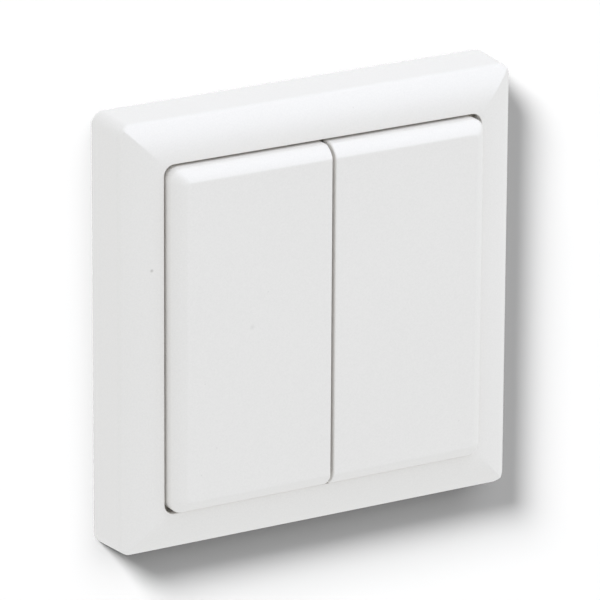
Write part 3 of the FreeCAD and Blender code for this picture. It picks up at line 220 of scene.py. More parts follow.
class StudioSettings(bpy.types.PropertyGroup):
    """Camera and light."""

    azimuth: angle("Azimuth", "Camera to the right of straight ahead", -30.18)
    elevation: angle("Elevation", "Camera above the middle", 18.78)
    roll: angle("Roll", "Camera roll", 0.31)
    distance: length("Distance", "Camera to the middle of the back face", 1.123)
    aim_right: length("Aim right", "Point aimed at, to the right of the middle", 1.62 * MM)
    aim_down: length("Aim down", "Point aimed at, below the middle", 0.94 * MM)
    lens: FloatProperty(name="Lens", description="Focal length", default=378.7, unit="CAMERA")
    daylight: colour("Daylight", "Tint of the even light and the backdrop's lamps", (0.935, 0.961, 0.995))
    skylight: colour("Skylight", "Tint of key lamp and soft box", (0.83, 0.87, 1.0))
    ambient: amount("Ambient", "Strength of the even light all round", 0.9)
    lamp_distance: length("Lamp distance", "Key lamp and soft box to the middle", 1.2)
    key_azimuth: angle("Key azimuth", "Key lamp to the right of straight ahead", 26)
    key_elevation: angle("Key elevation", "Key lamp above the middle", 68)
    key_size: length("Key size", "Diameter of the key lamp", 0.55)
    key_power: power("Key power", "Key lamp, which gives no gloss", 2.1)
    gloss_azimuth: angle("Gloss azimuth", "Soft box to the right of straight ahead", 70)
    gloss_elevation: angle("Gloss elevation", "Soft box above the middle", 56)
    gloss_size: length("Gloss size", "Diameter of the soft box", 3.0)
    gloss_power: power("Gloss power", "Soft box, which is seen only in the gloss", 54.0)
    shadow_azimuth: angle("Shadow azimuth", "Backdrop's lamp to the right of straight ahead", -53)
    shadow_elevation: angle("Shadow elevation", "Backdrop's lamp above the middle", 40)
    shadow_spread: angle("Shadow spread", "Softness of the shadow", 18)
    shadow_strength: amount("Shadow strength", "Lamp that casts the shadow on the backdrop", 36.0)
    rim_azimuth: angle("Rim azimuth", "Backdrop's second lamp to the right of straight ahead", 2.5)
    rim_elevation: angle("Rim elevation", "Backdrop's second lamp above the middle", 32)
    rim_spread: angle("Rim spread", "Softness of the faint shadow all round", 55)
    rim_strength: amount("Rim strength", "Lamp that casts the faint shadow all round", 8.1)
    backdrop: colour("Backdrop", "Paint of the backdrop", (0.1285, 0.1253, 0.1213))
    backdrop_half: length("Backdrop half", "Half of the backdrop's side", 3.0)
    backdrop_gap: length("Backdrop gap", "Space between the back face and the backdrop", 0.15 * MM)


class WallSwitchSettings(bpy.types.PropertyGroup):
    """Everything about the wall switch that a user may change."""

    cover_frame: PointerProperty(type=CoverFrameSizes)
    rocker: PointerProperty(type=RockerSizes)
    dome: PointerProperty(type=DomeSizes)
    colours: PointerProperty(type=Colours)
    studio: PointerProperty(type=StudioSettings)


# Node graphs


class Signal:
    """One output of a node, so that shader maths reads as an expression."""

    def __init__(self, graph, socket):
        self.graph = graph
        self.socket = socket

    def also(self, output):
        """Another output of the same node."""
        return Signal(self.graph, self.socket.node.outputs[output])

    def math(self, operation, first, second=0.0, third=0.0):
        settings = {"operation": operation}
        return self.graph.add("ShaderNodeMath", settings, {0: first, 1: second, 2: third})

    def __add__(self, other):
        return self.math("ADD", self, other)

    def __radd__(self, other):
        return self.math("ADD", other, self)

    def __sub__(self, other):
        return self.math("SUBTRACT", self, other)

    def __rsub__(self, other):
        return self.math("SUBTRACT", other, self)

    def __mul__(self, other):
        return self.math("MULTIPLY", self, other)

    def __rmul__(self, other):
        return self.math("MULTIPLY", other, self)

    def __lt__(self, other):
        return self.math("LESS_THAN", self, other)

    def __gt__(self, other):
        return self.math("GREATER_THAN", self, other)

    def __or__(self, other):
        return self.math("MAXIMUM", self, other)

    def __abs__(self):
        return self.math("ABSOLUTE", self)

    def folded(self, middle, pitch):
        """Distance to the nearest of a row of evenly spaced places."""
        return abs(self.math("WRAP", self - middle, pitch / 2, -pitch / 2))


class Graph:
    """A node tree that is built up node by node."""

    def __init__(self, tree):
        self.tree = tree
        tree.nodes.clear()

    def add(self, kind, settings=None, sockets=None, output=0):
        node = self.tree.nodes.new(kind)
        for name, value in (settings or {}).items():
            setattr(node, name, value)
        for name, value in (sockets or {}).items():
            if isinstance(value, Signal):
                self.tree.links.new(value.socket, node.inputs[name])
            else:
                node.inputs[name].default_value = value
        return Signal(self, node.outputs[output] if len(node.outputs) else None)

    def mix(self, share, first, second):
        """A colour between two others."""
        sockets = {0: share, 6: opaque(first), 7: opaque(second)}
        return self.add("ShaderNodeMix", {"data_type": "RGBA"}, sockets, output=2)


class Finish(Graph):
    """A procedural material that reads Object coordinates."""

    def __init__(self, name):
        self.material = bpy.data.materials.new(name)
        self.material.use_nodes = True
        super().__init__(self.material.node_tree)
        self.place = self.add("ShaderNodeTexCoord", output="Object")

    def axes(self):
        """X, Y and Z of the place on the object."""
        across = self.add("ShaderNodeSeparateXYZ", sockets={"Vector": self.place}, output="X")
        return across, across.also("Y"), across.also("Z")

    def noise(self, size, detail=2.0, stretch=None):
        """Noise with features of about the given size, drawn out along an axis where stretch says so."""
        place = self.place
        if stretch:
            place = self.add("ShaderNodeMapping", sockets={"Vector": place, "Scale": stretch})
        sockets = {"Vector": place, "Scale": 1 / size, "Detail": detail}
        return self.add("ShaderNodeTexNoise", {"noise_dimensions": "3D"}, sockets)

    def near(self, spot, radius):
        """1 at a spot on the object, falling to 0 at a radius from it."""
        sockets = {0: self.place, 1: spot}
        gap = self.add("ShaderNodeVectorMath", {"operation": "DISTANCE"}, sockets, output="Value")
        return (1 - gap * (1 / radius)) | 0.0

    def mottled(self, share, tone, low, high):
        """A colour that varies between two shades of itself, given as factors."""
        return self.mix(share, shaded(tone, low), shaded(tone, high))

    def bump(self, height, depth, strength):
        sockets = {"Height": height, "Distance": depth, "Strength": strength}
        return self.add("ShaderNodeBump", sockets=sockets)

    def surface(self, sockets):
        shader = self.add("ShaderNodeBsdfPrincipled", sockets=sockets)
        self.add("ShaderNodeOutputMaterial", sockets={"Surface": shader})
        return self.material


def opaque(colour_value):
    """A colour with its alpha, as a colour socket takes it; a signal as it is."""
    return colour_value if isinstance(colour_value, Signal) else (*colour_value, 1.0)


def shaded(colour_value, share):
    """A colour made darker or lighter by a factor."""
    return tuple(min(channel * share, 1.0) for channel in colour_value)


# Finishes


class Smudge(NamedTuple):
    """A small round mark on the white plastic, darkest in its middle."""

    place: tuple
    radius: float
    darkness: float


SMUDGES = [
    Smudge(place=(-34.5 * MM, -11.35 * MM, 13.45 * MM), radius=0.4 * MM, darkness=0.47),
    Smudge(place=(-16.5 * MM, -15.0 * MM, 1.15 * MM), radius=0.6 * MM, darkness=0.13),
]


def satin_white_plastic(colours):
    """Fine-grained moulding with a little dust and two smudges, on the left slope and the left rocker."""
    finish = Finish("satin_white_plastic")
    cloud = finish.noise(24 * MM)
    peel = finish.noise(2.2 * MM, detail=1.0)
    grain = finish.noise(0.28 * MM, detail=3.0)
    cell = 5 * MM
    speck_radius = 0.15 * MM
    specks = finish.add("ShaderNodeTexVoronoi", sockets={"Vector": finish.place, "Scale": 1 / cell})
    dirt = 0.12 * (specks < speck_radius / cell) * (specks.also("Color") > 0.55)
    for smudge in SMUDGES:
        dirt = dirt | smudge.darkness * finish.near(smudge.place, smudge.radius)
    mottle = 0.17 * cloud + 0.83 * grain
    tone = finish.mottled(mottle, colours.white_plastic, 0.938, 1.058)
    height = 0.75 * grain + 0.25 * peel
    return finish.surface({
        "Base Color": finish.mix(dirt, tone, colours.speck),
        "Roughness": 0.36 + 0.08 * cloud + 0.1 * grain,
        "Normal": finish.bump(height, 0.012 * MM, 0.5),
    })


def moulded_inner_plastic(colours):
    finish = Finish("moulded_inner_plastic")
    flow = finish.noise(9 * MM, stretch=(1.0, 1.0, 0.3))
    grain = finish.noise(0.4 * MM)
    return finish.surface({
        "Base Color": finish.mottled(flow, colours.inner_plastic, 0.94, 1.04),
        "Roughness": 0.46 + 0.14 * flow,
        "Normal": finish.bump(grain, 0.02 * MM, 0.4),
    })


def black_moulding(colours):
    finish = Finish("black_moulding")
    grain = finish.noise(0.2 * MM, detail=3.0)
    return finish.surface({
        "Base Color": finish.mottled(grain, colours.black_plastic, 0.8, 1.4),
        "Roughness": 0.42 + 0.2 * grain,
        "Normal": finish.bump(grain, 0.015 * MM, 0.5),
    })


def plunger_plastic(colours):
    finish = Finish("plunger_plastic")
    cloud = finish.noise(0.8 * MM)
    return finish.surface({
        "Base Color": finish.mottled(cloud, colours.plunger_plastic, 0.9, 1.15),
        "Roughness": 0.22 + 0.12 * cloud,
    })


def dome_rubber(colours):
    finish = Finish("dome_rubber")
    bloom = finish.noise(0.6 * MM, detail=3.0)
    return finish.surface({
        "Base Color": finish.mottled(bloom, colours.dome_rubber, 0.9, 1.15),
        "Roughness": 0.6 + 0.2 * bloom,
    })


def board_laminate(colours):
    """Green lacquer over copper tracks, with tinned pads round the switch terminals and bare cut edges."""
    finish = Finish("board_laminate")
    across, _, upward = finish.axes()
    facing = finish.add("ShaderNodeTexCoord", output="Normal")
    forward = finish.add("ShaderNodeSeparateXYZ", sockets={"Vector": facing}, output="Y")
    weave = finish.noise(0.5 * MM, detail=3.0)
    lanes = finish.noise(7 * MM, detail=0.0)
    track_pitch = 1.6 * MM
    half_track = 0.22 * MM
    upright = (across.folded(0.0, track_pitch) < half_track) * (lanes > 0.52)
    level = (upward.folded(track_pitch / 4, track_pitch) < half_track) * (lanes < 0.44)
    tracks = upright | level
    pad_x, half_pad_x = 2.25 * MM, 0.75 * MM
    pad_z, half_pad_z = 3.6 * MM, 0.9 * MM
    from_switch_x = abs(abs(across) - SWITCH_MIDDLE.x)
    from_switch_z = abs(abs(upward) - SWITCH_MIDDLE.z)
    pads = (abs(from_switch_x - pad_x) < half_pad_x) * (abs(from_switch_z - pad_z) < half_pad_z)
    lacquer = finish.mottled(weave, colours.solder_mask, 0.85, 1.15)
    traced = finish.mix(tracks, lacquer, shaded(colours.solder_mask, 1.7))
    tinned = finish.mix(pads, traced, colours.tin)
    cut = abs(forward) < 0.5
    return finish.surface({
        "Base Color": finish.mix(cut, tinned, colours.laminate),
        "Metallic": 0.9 * pads * (1 - cut),
        "Roughness": 0.28 + 0.12 * weave + 0.35 * cut,
        "Normal": finish.bump(tracks + 0.2 * weave, 0.03 * MM, 0.5),
    })


def plated_steel(colours):
    finish = Finish("plated_steel")
    brushed = finish.noise(0.12 * MM, detail=3.0, stretch=(1.0, 0.08, 0.08))
    cloud = finish.noise(2 * MM)
    return finish.surface({
        "Base Color": finish.mottled(cloud, colours.steel, 0.93, 1.05),
        "Metallic": 1.0,
        "Roughness": 0.2 + 0.16 * brushed,
        "Normal": finish.bump(brushed, 0.004 * MM, 0.3),
    })


def cell_can(colours):
    """Rolled steel with the faint rings of its deep drawing, about the cell's own axis."""
    finish = Finish("cell_can")
    ring_pitch = 0.35 * MM
    centred = finish.add("ShaderNodeMapping", sockets={"Vector": finish.place, "Location": -CELL_MIDDLE})
    flattened = finish.add(
        "ShaderNodeVectorMath", {"operation": "MULTIPLY"}, {0: centred, 1: (1.0, 0.0, 1.0)}
    )
    radius = finish.add("ShaderNodeVectorMath", {"operation": "LENGTH"}, {0: flattened}, output="Value")
    rings = radius.folded(0.0, ring_pitch) * (2 / ring_pitch)
    cloud = finish.noise(3 * MM, detail=3.0)
    return finish.surface({
        "Base Color": finish.mottled(cloud, colours.cell_can, 0.92, 1.06),
        "Metallic": 1.0,
        "Roughness": 0.18 + 0.1 * cloud + 0.06 * rings,
        "Normal": finish.bump(rings, 0.004 * MM, 0.4),
    })


def aerial_wire(colours):
    finish = Finish("aerial_wire")
    drawn = finish.noise(0.15 * MM, stretch=(0.1, 1.0, 1.0))
    return finish.surface({
        "Base Color": finish.mottled(drawn, colours.copper, 0.88, 1.08),
        "Metallic": 1.0,
        "Roughness": 0.22 + 0.14 * drawn,
        "Coat Weight": 0.5,
    })


def ceramic_parts(colours):
    """Fired bodies with a tinned cap at both ends of each part."""
    finish = Finish("ceramic_parts")
    _, _, upward = finish.axes()
    part_pitch = 2.6 * MM
    half_body = 0.62 * MM
    caps = upward.folded(PARTS_MIDDLE.z, part_pitch) > half_body
    fired = finish.noise(0.3 * MM, detail=3.0)
    body = finish.mottled(fired, colours.ceramic, 0.85, 1.15)
    return finish.surface({
        "Base Color": finish.mix(caps, body, colours.tin),
        "Metallic": caps,
        "Roughness": 0.5 - 0.22 * caps + 0.1 * fired,
    })


def chip_package(colours):
    """Black moulded case with tinned leads along both long sides."""
    finish = Finish("chip_package")
    _, _, upward = finish.axes()
    half_case = 1.955 * MM
    leads = abs(upward - CHIP_MIDDLE.z) > half_case
    grain = finish.noise(0.15 * MM, detail=3.0)
    case = finish.mottled(grain, colours.black_plastic, 0.8, 1.5)
    return finish.surface({
        "Base Color": finish.mix(leads, case, colours.tin),
        "Metallic": leads,
        "Roughness": 0.5 - 0.22 * leads + 0.12 * grain,
        "Normal": finish.bump(grain, 0.01 * MM, 0.4),
    })


FINISHES = {
    "white_plastic": satin_white_plastic,
    "inner_plastic": moulded_inner_plastic,
    "black_plastic": black_moulding,
    "plunger_plastic": plunger_plastic,
    "dome_rubber": dome_rubber,
    "board_laminate": board_laminate,
    "plated_steel": plated_steel,
    "cell_can": cell_can,
    "aerial_wire": aerial_wire,
    "ceramic": ceramic_parts,
}
NODE_FINISHES = {"controller_chip": chip_package}


def finish_named(make, settings):
    """The material that a finish makes, made once and then kept."""
    return bpy.data.materials.get(make.__name__) or make(settings.colours)


# Mesh helpers


class Outline:
    """A rounded rectangle seen from the front, with one corner radius on its left and one on its right."""

    def __init__(self, low_x, high_x, half_z, low_radius, high_radius):
        self.edge_x = {-1: low_x, 1: high_x}
        self.half_z = half_z
        self.radius = {-1: low_radius, 1: high_radius}

    @classmethod
    def square(cls, half, radius):
        return cls(-half, half, half, radius, radius)

    def tip(self, side, end):
        """Where the two sides of a corner would meet."""
        return Vector((self.edge_x[side], 0.0, end * self.half_z))

    def centre(self, side, end):
        """The centre of a corner's arc."""
        return self.tip(side, end) - self.radius[side] * Vector((side, 0.0, end))


class RoundedSkin:
    """A skin that is pulled through rounded rectangles, ring by ring. A ring is four corner arcs."""

    def __init__(self, outline, depth):
        self.mesh = bmesh.new()
        tips = bmesh.ops.create_grid(self.mesh, x_segments=1, y_segments=1, size=1.0, matrix=UPRIGHT)["verts"]
        tips_of_side = {side: [tip for tip in tips if side * tip.co.x > 0] for side in SIDES.values()}
        for side, members in tips_of_side.items():
            for tip in members:
                tip.co = outline.tip(side, math.copysign(1.0, tip.co.z))
        for side, members in tips_of_side.items():
            bmesh.ops.bevel(
                self.mesh,
                geom=members,
                offset=outline.radius[side],
                offset_type="OFFSET",
                affect="VERTICES",
                segments=CORNER_SEGMENTS,
                profile=0.5,
                material=-1,
            )
        bmesh.ops.delete(self.mesh, geom=self.mesh.faces[:], context="FACES_ONLY")
        self.outline = outline
        self.edges = self.mesh.edges[:]
        self.first_edges = self.edges
        middle = (outline.edge_x[-1] + outline.edge_x[1]) / 2
        self.corners = {(side, end): [] for side in SIDES.values() for end in ENDS.values()}
        for vertex in self.mesh.verts:
            side = int(math.copysign(1.0, vertex.co.x - middle))
            self.corners[side, int(math.copysign(1.0, vertex.co.z))].append(vertex)
        self.lay(depth)

    def lay(self, depth):
        """Puts the last ring at a depth, or where a function of X and Z says."""
        for members in self.corners.values():
            for vertex in members:
                vertex.co.y = -(depth(vertex.co.x, vertex.co.z) if callable(depth) else depth)

    def pull(self, outline, depth):
        """Extrudes the last ring to the next outline and returns the new ring's edges."""
        pulled = bmesh.ops.extrude_edge_only(self.mesh, edges=self.edges)["geom"]
        fresh = {part for part in pulled if isinstance(part, bmesh.types.BMVert)}
        self.edges = [part for part in pulled if isinstance(part, bmesh.types.BMEdge)]
        for (side, end), members in self.corners.items():
            followers = [
                next(edge.other_vert(old) for edge in old.link_edges if edge.other_vert(old) in fresh)
                for old in members
            ]
            ratio = outline.radius[side] / self.outline.radius[side]
            move = (
                Matrix.Translation(outline.centre(side, end))
                @ Matrix.Scale(ratio, 4)
                @ Matrix.Translation(-self.outline.centre(side, end))
            )
            bmesh.ops.transform(self.mesh, matrix=move, verts=followers)
            self.corners[side, end] = followers
        self.outline = outline
        self.lay(depth)
        return self.edges

    def cap(self):
        """Closes the last ring with a flat face."""
        bmesh.ops.contextual_create(self.mesh, geom=self.edges)

    def join_ends(self):
        """Bridges the last ring to the first."""
        bmesh.ops.bridge_loops(self.mesh, edges=self.first_edges + self.edges)


def round_edges(mesh, edges, offset, segments=EDGE_SEGMENTS):
    bmesh.ops.bevel(
        mesh,
        geom=edges,
        offset=offset,
        offset_type="OFFSET",
        affect="EDGES",
        segments=segments,
        profile=0.5,
        material=-1,
        clamp_overlap=True,
    )


def add_block(mesh, low, high):
    """A block between two corners, given as X, depth and Z."""
    low = Vector((low[0], -low[1], low[2]))
    high = Vector((high[0], -high[1], high[2]))
    size = high - low
    place = Matrix.Translation((low + high) / 2) @ Matrix.Diagonal((*(abs(side) for side in size), 1.0))
    bmesh.ops.create_cube(mesh, size=1.0, matrix=place)


def add_pin(mesh, start, end, radius):
    """A round pin between two points and the edges of its end."""
    axis = end - start
    turn = axis.to_track_quat("Z", "Y").to_matrix().to_4x4()
    place = Matrix.Translation((start + end) / 2) @ turn
    made = bmesh.ops.create_cone(
        mesh,
        cap_ends=True,
        cap_tris=False,
        segments=ROUND_STEPS,
        radius1=radius,
        radius2=radius,
        depth=axis.length,
        matrix=place,
    )["verts"]
    at_end = {vertex for vertex in made if (vertex.co - end).dot(axis) > -axis.length_squared / 2}
    return [edge for edge in mesh.edges if edge.verts[0] in at_end and edge.verts[1] in at_end]


def add_piece(context, name, mesh, body, slot, replaced):
    """Makes a finished bmesh an object that rides on a body and stands for CAD nodes."""
    bmesh.ops.recalc_face_normals(mesh, faces=mesh.faces[:])
    data = bpy.data.meshes.new(name)
    mesh.to_mesh(data)
    mesh.free()
    data.shade_smooth()
    data.set_sharp_from_angle(angle=SHARP_ANGLE)
    settings = context.scene.wall_switch
    data.materials.append(finish_named(FINISHES[slot], settings))
    piece = bpy.data.objects.new(name, data)
    context.scene.collection.objects.link(piece)
    normals = piece.modifiers.new("face_weighted_normals", "WEIGHTED_NORMAL")
    normals.keep_sharp = True
    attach(piece, body)
    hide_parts(replaced)
    return piece


def soft_shading():
    """A node group that merges loose triangles and shades them smooth up to a sharp edge."""
    name = "soft_shading"
    if name in bpy.data.node_groups:
        return bpy.data.node_groups[name]
    group = bpy.data.node_groups.new(name, "GeometryNodeTree")
    for direction in ("INPUT", "OUTPUT"):
        group.interface.new_socket("Geometry", in_out=direction, socket_type="NodeSocketGeometry")
    graph = Graph(group)
    entry = graph.add("NodeGroupInput")
    merged = graph.add(
        "GeometryNodeMergeByDistance", sockets={"Geometry": entry, "Distance": MERGE_DISTANCE}
    )
    smooth = graph.add("GeometryNodeSetShadeSmooth", {"domain": "FACE"}, {"Geometry": merged})
    bend = graph.add("GeometryNodeInputMeshEdgeAngle")
    gentle = graph.add(
        "FunctionNodeCompare", {"data_type": "FLOAT", "operation": "LESS_THAN"}, {0: bend, 1: SHARP_ANGLE}
    )
    edged = graph.add(
        "GeometryNodeSetShadeSmooth", {"domain": "EDGE"}, {"Geometry": smooth, "Shade Smooth": gentle}
    )
    graph.add("NodeGroupOutput", sockets={"Geometry": edged})
    return group


# Cover frame


class ConvexSlope:
    """The slope that climbs from the crease to the crown on all four sides, or its inner face."""

    def __init__(self, sizes, inset=0.0):
        run = sizes.half_width - sizes.draft - sizes.crown_half
        rise = sizes.crown_depth - sizes.crease_depth
        outer_radius = (run * run + rise * rise) / (2 * rise)
        self.radius = outer_radius - inset
        self.axis_depth = sizes.crown_depth - outer_radius
        self.crown_half = sizes.crown_half
        self.foot = sizes.crown_half + run - inset
        self.blend = sizes.mitre_blend

    def across(self, distance):
        reach = max(distance - self.crown_half, 0.0)
        return self.axis_depth + math.sqrt(self.radius * self.radius - reach * reach)

    def depth(self, x, z):
        """The lower of the two slopes at a place, with a soft mitre between them."""
        one, other = self.across(abs(x)), self.across(abs(z))
        share = max(self.blend - abs(one - other), 0.0) / self.blend
        return min(one, other) - share * share * self.blend / 4

    def distances(self, start, end, count):
        """Distances from the middle at even steps along the arc, start and end included."""
        first = math.asin((start - self.crown_half) / self.radius)
        last = math.asin((end - self.crown_half) / self.radius)
        for step in range(count + 1):
            bend = first + (last - first) * step / count
            yield self.crown_half + self.radius * math.sin(bend)


def frame_corner(sizes, distance, foot):
    """Corner radius of a ring on the slope: sharp at the mitre, growing to the crease's and the opening's."""
    from_crease = sizes.corner - (foot - distance)
    from_opening = sizes.opening_corner - (distance - sizes.opening_half)
    return max(from_crease, from_opening, sizes.mitre)


def cover_frame_mesh(sizes):
    slope = ConvexSlope(sizes)
    hollow = ConvexSlope(sizes, sizes.wall)

    skin = RoundedSkin(Outline.square(sizes.half_width, sizes.corner), 0.0)
    creases = skin.pull(Outline.square(slope.foot, sizes.corner), slope.depth)
    rings = list(slope.distances(slope.foot, sizes.opening_half, SLOPE_RINGS))
    for distance in rings[1:]:
        lip = skin.pull(Outline.square(distance, frame_corner(sizes, distance, slope.foot)), slope.depth)
    skin.pull(Outline.square(sizes.opening_half, sizes.opening_corner), sizes.collar_back)

    collar_half = sizes.opening_half + sizes.collar_wall
    collar_corner = sizes.opening_corner + sizes.collar_wall
    skin.pull(Outline.square(collar_half, collar_corner), sizes.collar_back)
    for distance in hollow.distances(collar_half, hollow.foot, HOLLOW_RINGS):
        corner = max(collar_corner - (distance - collar_half), sizes.hollow_corner)
        skin.pull(Outline.square(distance, corner), hollow.depth)
    lean = sizes.draft / sizes.crease_depth
    for depth in (sizes.ledge_front, sizes.ledge_back, 0.0):
        half = sizes.half_width - sizes.wall - lean * depth
        skin.pull(Outline.square(half, sizes.hollow_corner), depth)
    skin.join_ends()
    add_catch_ledges(skin.mesh, sizes)
    round_edges(skin.mesh, creases, sizes.crease_round)
    round_edges(skin.mesh, lip, sizes.opening_round)
    return skin.mesh


def add_catch_ledges(mesh, sizes):
    """Extrudes the middle of each inner wall, between the ledges' depths, into a catch ledge."""
    level = -(sizes.ledge_front + sizes.ledge_back) / 2
    tolerance = MM / 10
    inside = sizes.half_width - sizes.wall / 2

    def on_inner_wall(face, reach):
        middle = face.calc_center_median()
        on_level = abs(middle.y - level) < tolerance
        near_wall = sizes.opening_half < max(abs(middle.x), abs(middle.z)) < inside
        in_reach = min(abs(middle.x), abs(middle.z)) < reach
        return on_level and near_wall and in_reach

    for normal in (Vector((1.0, 0.0, 0.0)), Vector((0.0, 0.0, 1.0))):
        for sign in (-1, 1):
            walls = [face for face in mesh.faces if on_inner_wall(face, inside)]
            parts = {part for face in walls for part in (*face.verts, *face.edges, face)}
            bmesh.ops.bisect_plane(
                mesh,
                geom=list(parts),
                dist=MERGE_DISTANCE,
                plane_co=sign * sizes.ledge_half * normal,
                plane_no=normal,
            )
    middles = [face for face in mesh.faces if on_inner_wall(face, sizes.ledge_half)]
    if len(middles) != len(SIDES) * len(ENDS):
        raise RuntimeError(f"the cover frame has {len(middles)} catch ledges")
    for face in bmesh.ops.extrude_discrete_faces(mesh, faces=middles)["faces"]:
        middle = face.calc_center_median()
        inward = Vector((-middle.x, 0.0, -middle.z)).normalized()
        bmesh.ops.translate(mesh, verts=face.verts[:], vec=sizes.ledge_reach * inward)


class WALLSWITCH_OT_cover_frame(bpy.types.Operator):
    """Builds the cover frame with its convex slopes, collar and catch ledges"""

    bl_idname = "wall_switch.cover_frame"
    bl_label = "Cover Frame"

    def execute(self, context):
        mesh = cover_frame_mesh(context.scene.wall_switch.cover_frame)
        add_piece(context, "cover_frame_moulding", mesh, "housing", "white_plastic", "cover_frame")
        return {"FINISHED"}


# Rockers


def rocker_outline(sizes, inset, inner_shift, outer_radius, inner_radius):
    """A rocker's outline, inset from its three outer sides and shifted at the centre gap."""
    return Outline(
        sizes.inner_x + inner_shift,
        sizes.outer_x - inset,
        sizes.half_height - inset,
        inner_radius,
        outer_radius,
    )


def bevel_rings(sizes):
    """Insets and depths up a convex bevel and round the blend into the front face."""
    steep, shallow = sizes.bevel_steep, sizes.bevel_shallow
    radius = sizes.bevel_width / (math.sin(steep) - math.sin(shallow))
    blend = sizes.bevel_blend
    blend_foot = sizes.front - blend * (1 - math.cos(shallow))
    for step in range(BEVEL_RINGS):
        tilt = steep + (shallow - steep) * step / BEVEL_RINGS
        inset = radius * (math.sin(steep) - math.sin(tilt))
        yield inset, blend_foot - radius * (math.cos(shallow) - math.cos(tilt))
    for step in range(BLEND_RINGS + 1):
        tilt = shallow * (1 - step / BLEND_RINGS)
        inset = sizes.bevel_width + blend * (math.sin(shallow) - math.sin(tilt))
        yield inset, sizes.front - blend * (1 - math.cos(tilt))


def inner_edge_shift(sizes, depth):
    """How far the rounding of the edge at the centre gap has moved in at a depth."""
    climb = max(depth - (sizes.front - sizes.inner_edge), 0.0)
    return sizes.inner_edge - math.sqrt(max(sizes.inner_edge**2 - climb**2, 0.0))


def rocker_mesh(sizes):
    """The right rocker."""
    inside = sizes.front - sizes.wall
    hollow = rocker_outline(sizes, sizes.wall, sizes.wall, sizes.hollow_corner, sizes.hollow_corner)
    whole = rocker_outline(sizes, 0.0, 0.0, sizes.outer_corner, sizes.inner_corner)
    skin = RoundedSkin(hollow, inside)
    skin.cap()
    skin.pull(hollow, sizes.skirt_back)
    skin.pull(whole, sizes.skirt_back)
    rings = list(bevel_rings(sizes))
    last_inset = rings[-1][0]
    for inset, depth in rings:
        share = inset / last_inset
        outer_radius = sizes.outer_corner + (sizes.front_corner - sizes.outer_corner) * share
        inner_radius = max(sizes.inner_corner - inset, sizes.inner_edge)
        shift = inner_edge_shift(sizes, depth)
        skin.pull(rocker_outline(sizes, inset, shift, outer_radius, inner_radius), depth)
    skin.cap()
    add_rocker_inside(skin.mesh, sizes, inside)
    return skin.mesh


def add_rocker_inside(mesh, sizes, inside):
    """Ribs, presser pips, lugs and trunnions behind the front face."""
    low_x = sizes.inner_x + sizes.wall
    high_x = sizes.outer_x - sizes.wall
    high_z = sizes.half_height - sizes.wall + sizes.overlap
    half_rib = sizes.rib_width / 2
    rib_back = inside - sizes.rib_height
    rib_front = inside + sizes.overlap
    long_rib = (sizes.switch_x - half_rib, sizes.switch_x + half_rib)
    add_block(mesh, (long_rib[0], rib_back, -high_z), (long_rib[1], rib_front, high_z))
    for end in ENDS.values():
        level = end * sizes.switch_z
        low = (low_x - sizes.overlap, rib_back, level - half_rib)
        add_block(mesh, low, (high_x + sizes.overlap, rib_front, level + half_rib))
        root = Vector((sizes.switch_x, -rib_front, level))
        tip = Vector((sizes.switch_x, -sizes.pip_back, level))
        round_edges(mesh, add_pin(mesh, root, tip, sizes.pip_radius), sizes.pip_round)

    # The lugs stop a hair inside the shell's sides, so that no two faces lie in one plane.
    hair = MM / 100
    axle = [
        (sizes.lug_radius, sizes.inner_x + hair, low_x),
        (sizes.lug_radius, sizes.outer_x - hair, high_x),
        (sizes.trunnion_radius, low_x - sizes.overlap, low_x + sizes.trunnion_reach),
        (sizes.trunnion_radius, high_x + sizes.overlap, high_x - sizes.trunnion_reach),
    ]
    for radius, start, end in axle:
        ends = [Vector((x, -sizes.pivot, 0.0)) for x in (start, end)]
        round_edges(mesh, add_pin(mesh, *ends, radius), sizes.pin_edge)


class WALLSWITCH_OT_rockers(bpy.types.Operator):
    """Builds the two rockers, mirror images of each other"""

    bl_idname = "wall_switch.rockers"
    bl_label = "Rockers"

    def execute(self, context):
        for side, sign in SIDES.items():
            mesh = rocker_mesh(context.scene.wall_switch.rocker)
            bmesh.ops.scale(mesh, vec=(sign, 1.0, 1.0), verts=mesh.verts[:])
            name = f"{side}_rocker"
            add_piece(context, f"{name}_moulding", mesh, name, "white_plastic", name)
        return {"FINISHED"}


# Return domes


def dome_mesh(sizes, low, high):
    """A rubber dome turned between the lowest and highest corner of its CAD node."""
    middle = (low + high) / 2
    foot, top = -high.y, -low.y
    radii_and_depths = [
        (0.0, top - sizes.wall),
        (sizes.top_radius - sizes.wall, top - sizes.wall),
        (sizes.foot_radius - sizes.wall, foot),
        (sizes.foot_radius, foot),
        (sizes.foot_radius, foot + sizes.wall),
        (sizes.top_radius, top),
        (0.0, top),
    ]
    mesh = bmesh.new()
    points = [
        mesh.verts.new((middle.x + radius, -depth, middle.z)) for radius, depth in radii_and_depths
    ]
    section = [mesh.edges.new(pair) for pair in zip(points, points[1:])]
    bmesh.ops.spin(
        mesh,
        geom=points + section,
        cent=middle,
        axis=(0.0, 1.0, 0.0),
        angle=math.tau,
        steps=DOME_STEPS,
        use_merge=True,
    )
    bmesh.ops.remove_doubles(mesh, verts=mesh.verts[:], dist=MERGE_DISTANCE)
    bmesh.ops.recalc_face_normals(mesh, faces=mesh.faces[:])
    bends = [edge for edge in mesh.edges if edge.calc_face_angle(0.0) > SHARP_ANGLE / 2]
    round_edges(mesh, bends, sizes.edge, DOME_EDGE_SEGMENTS)
    return mesh


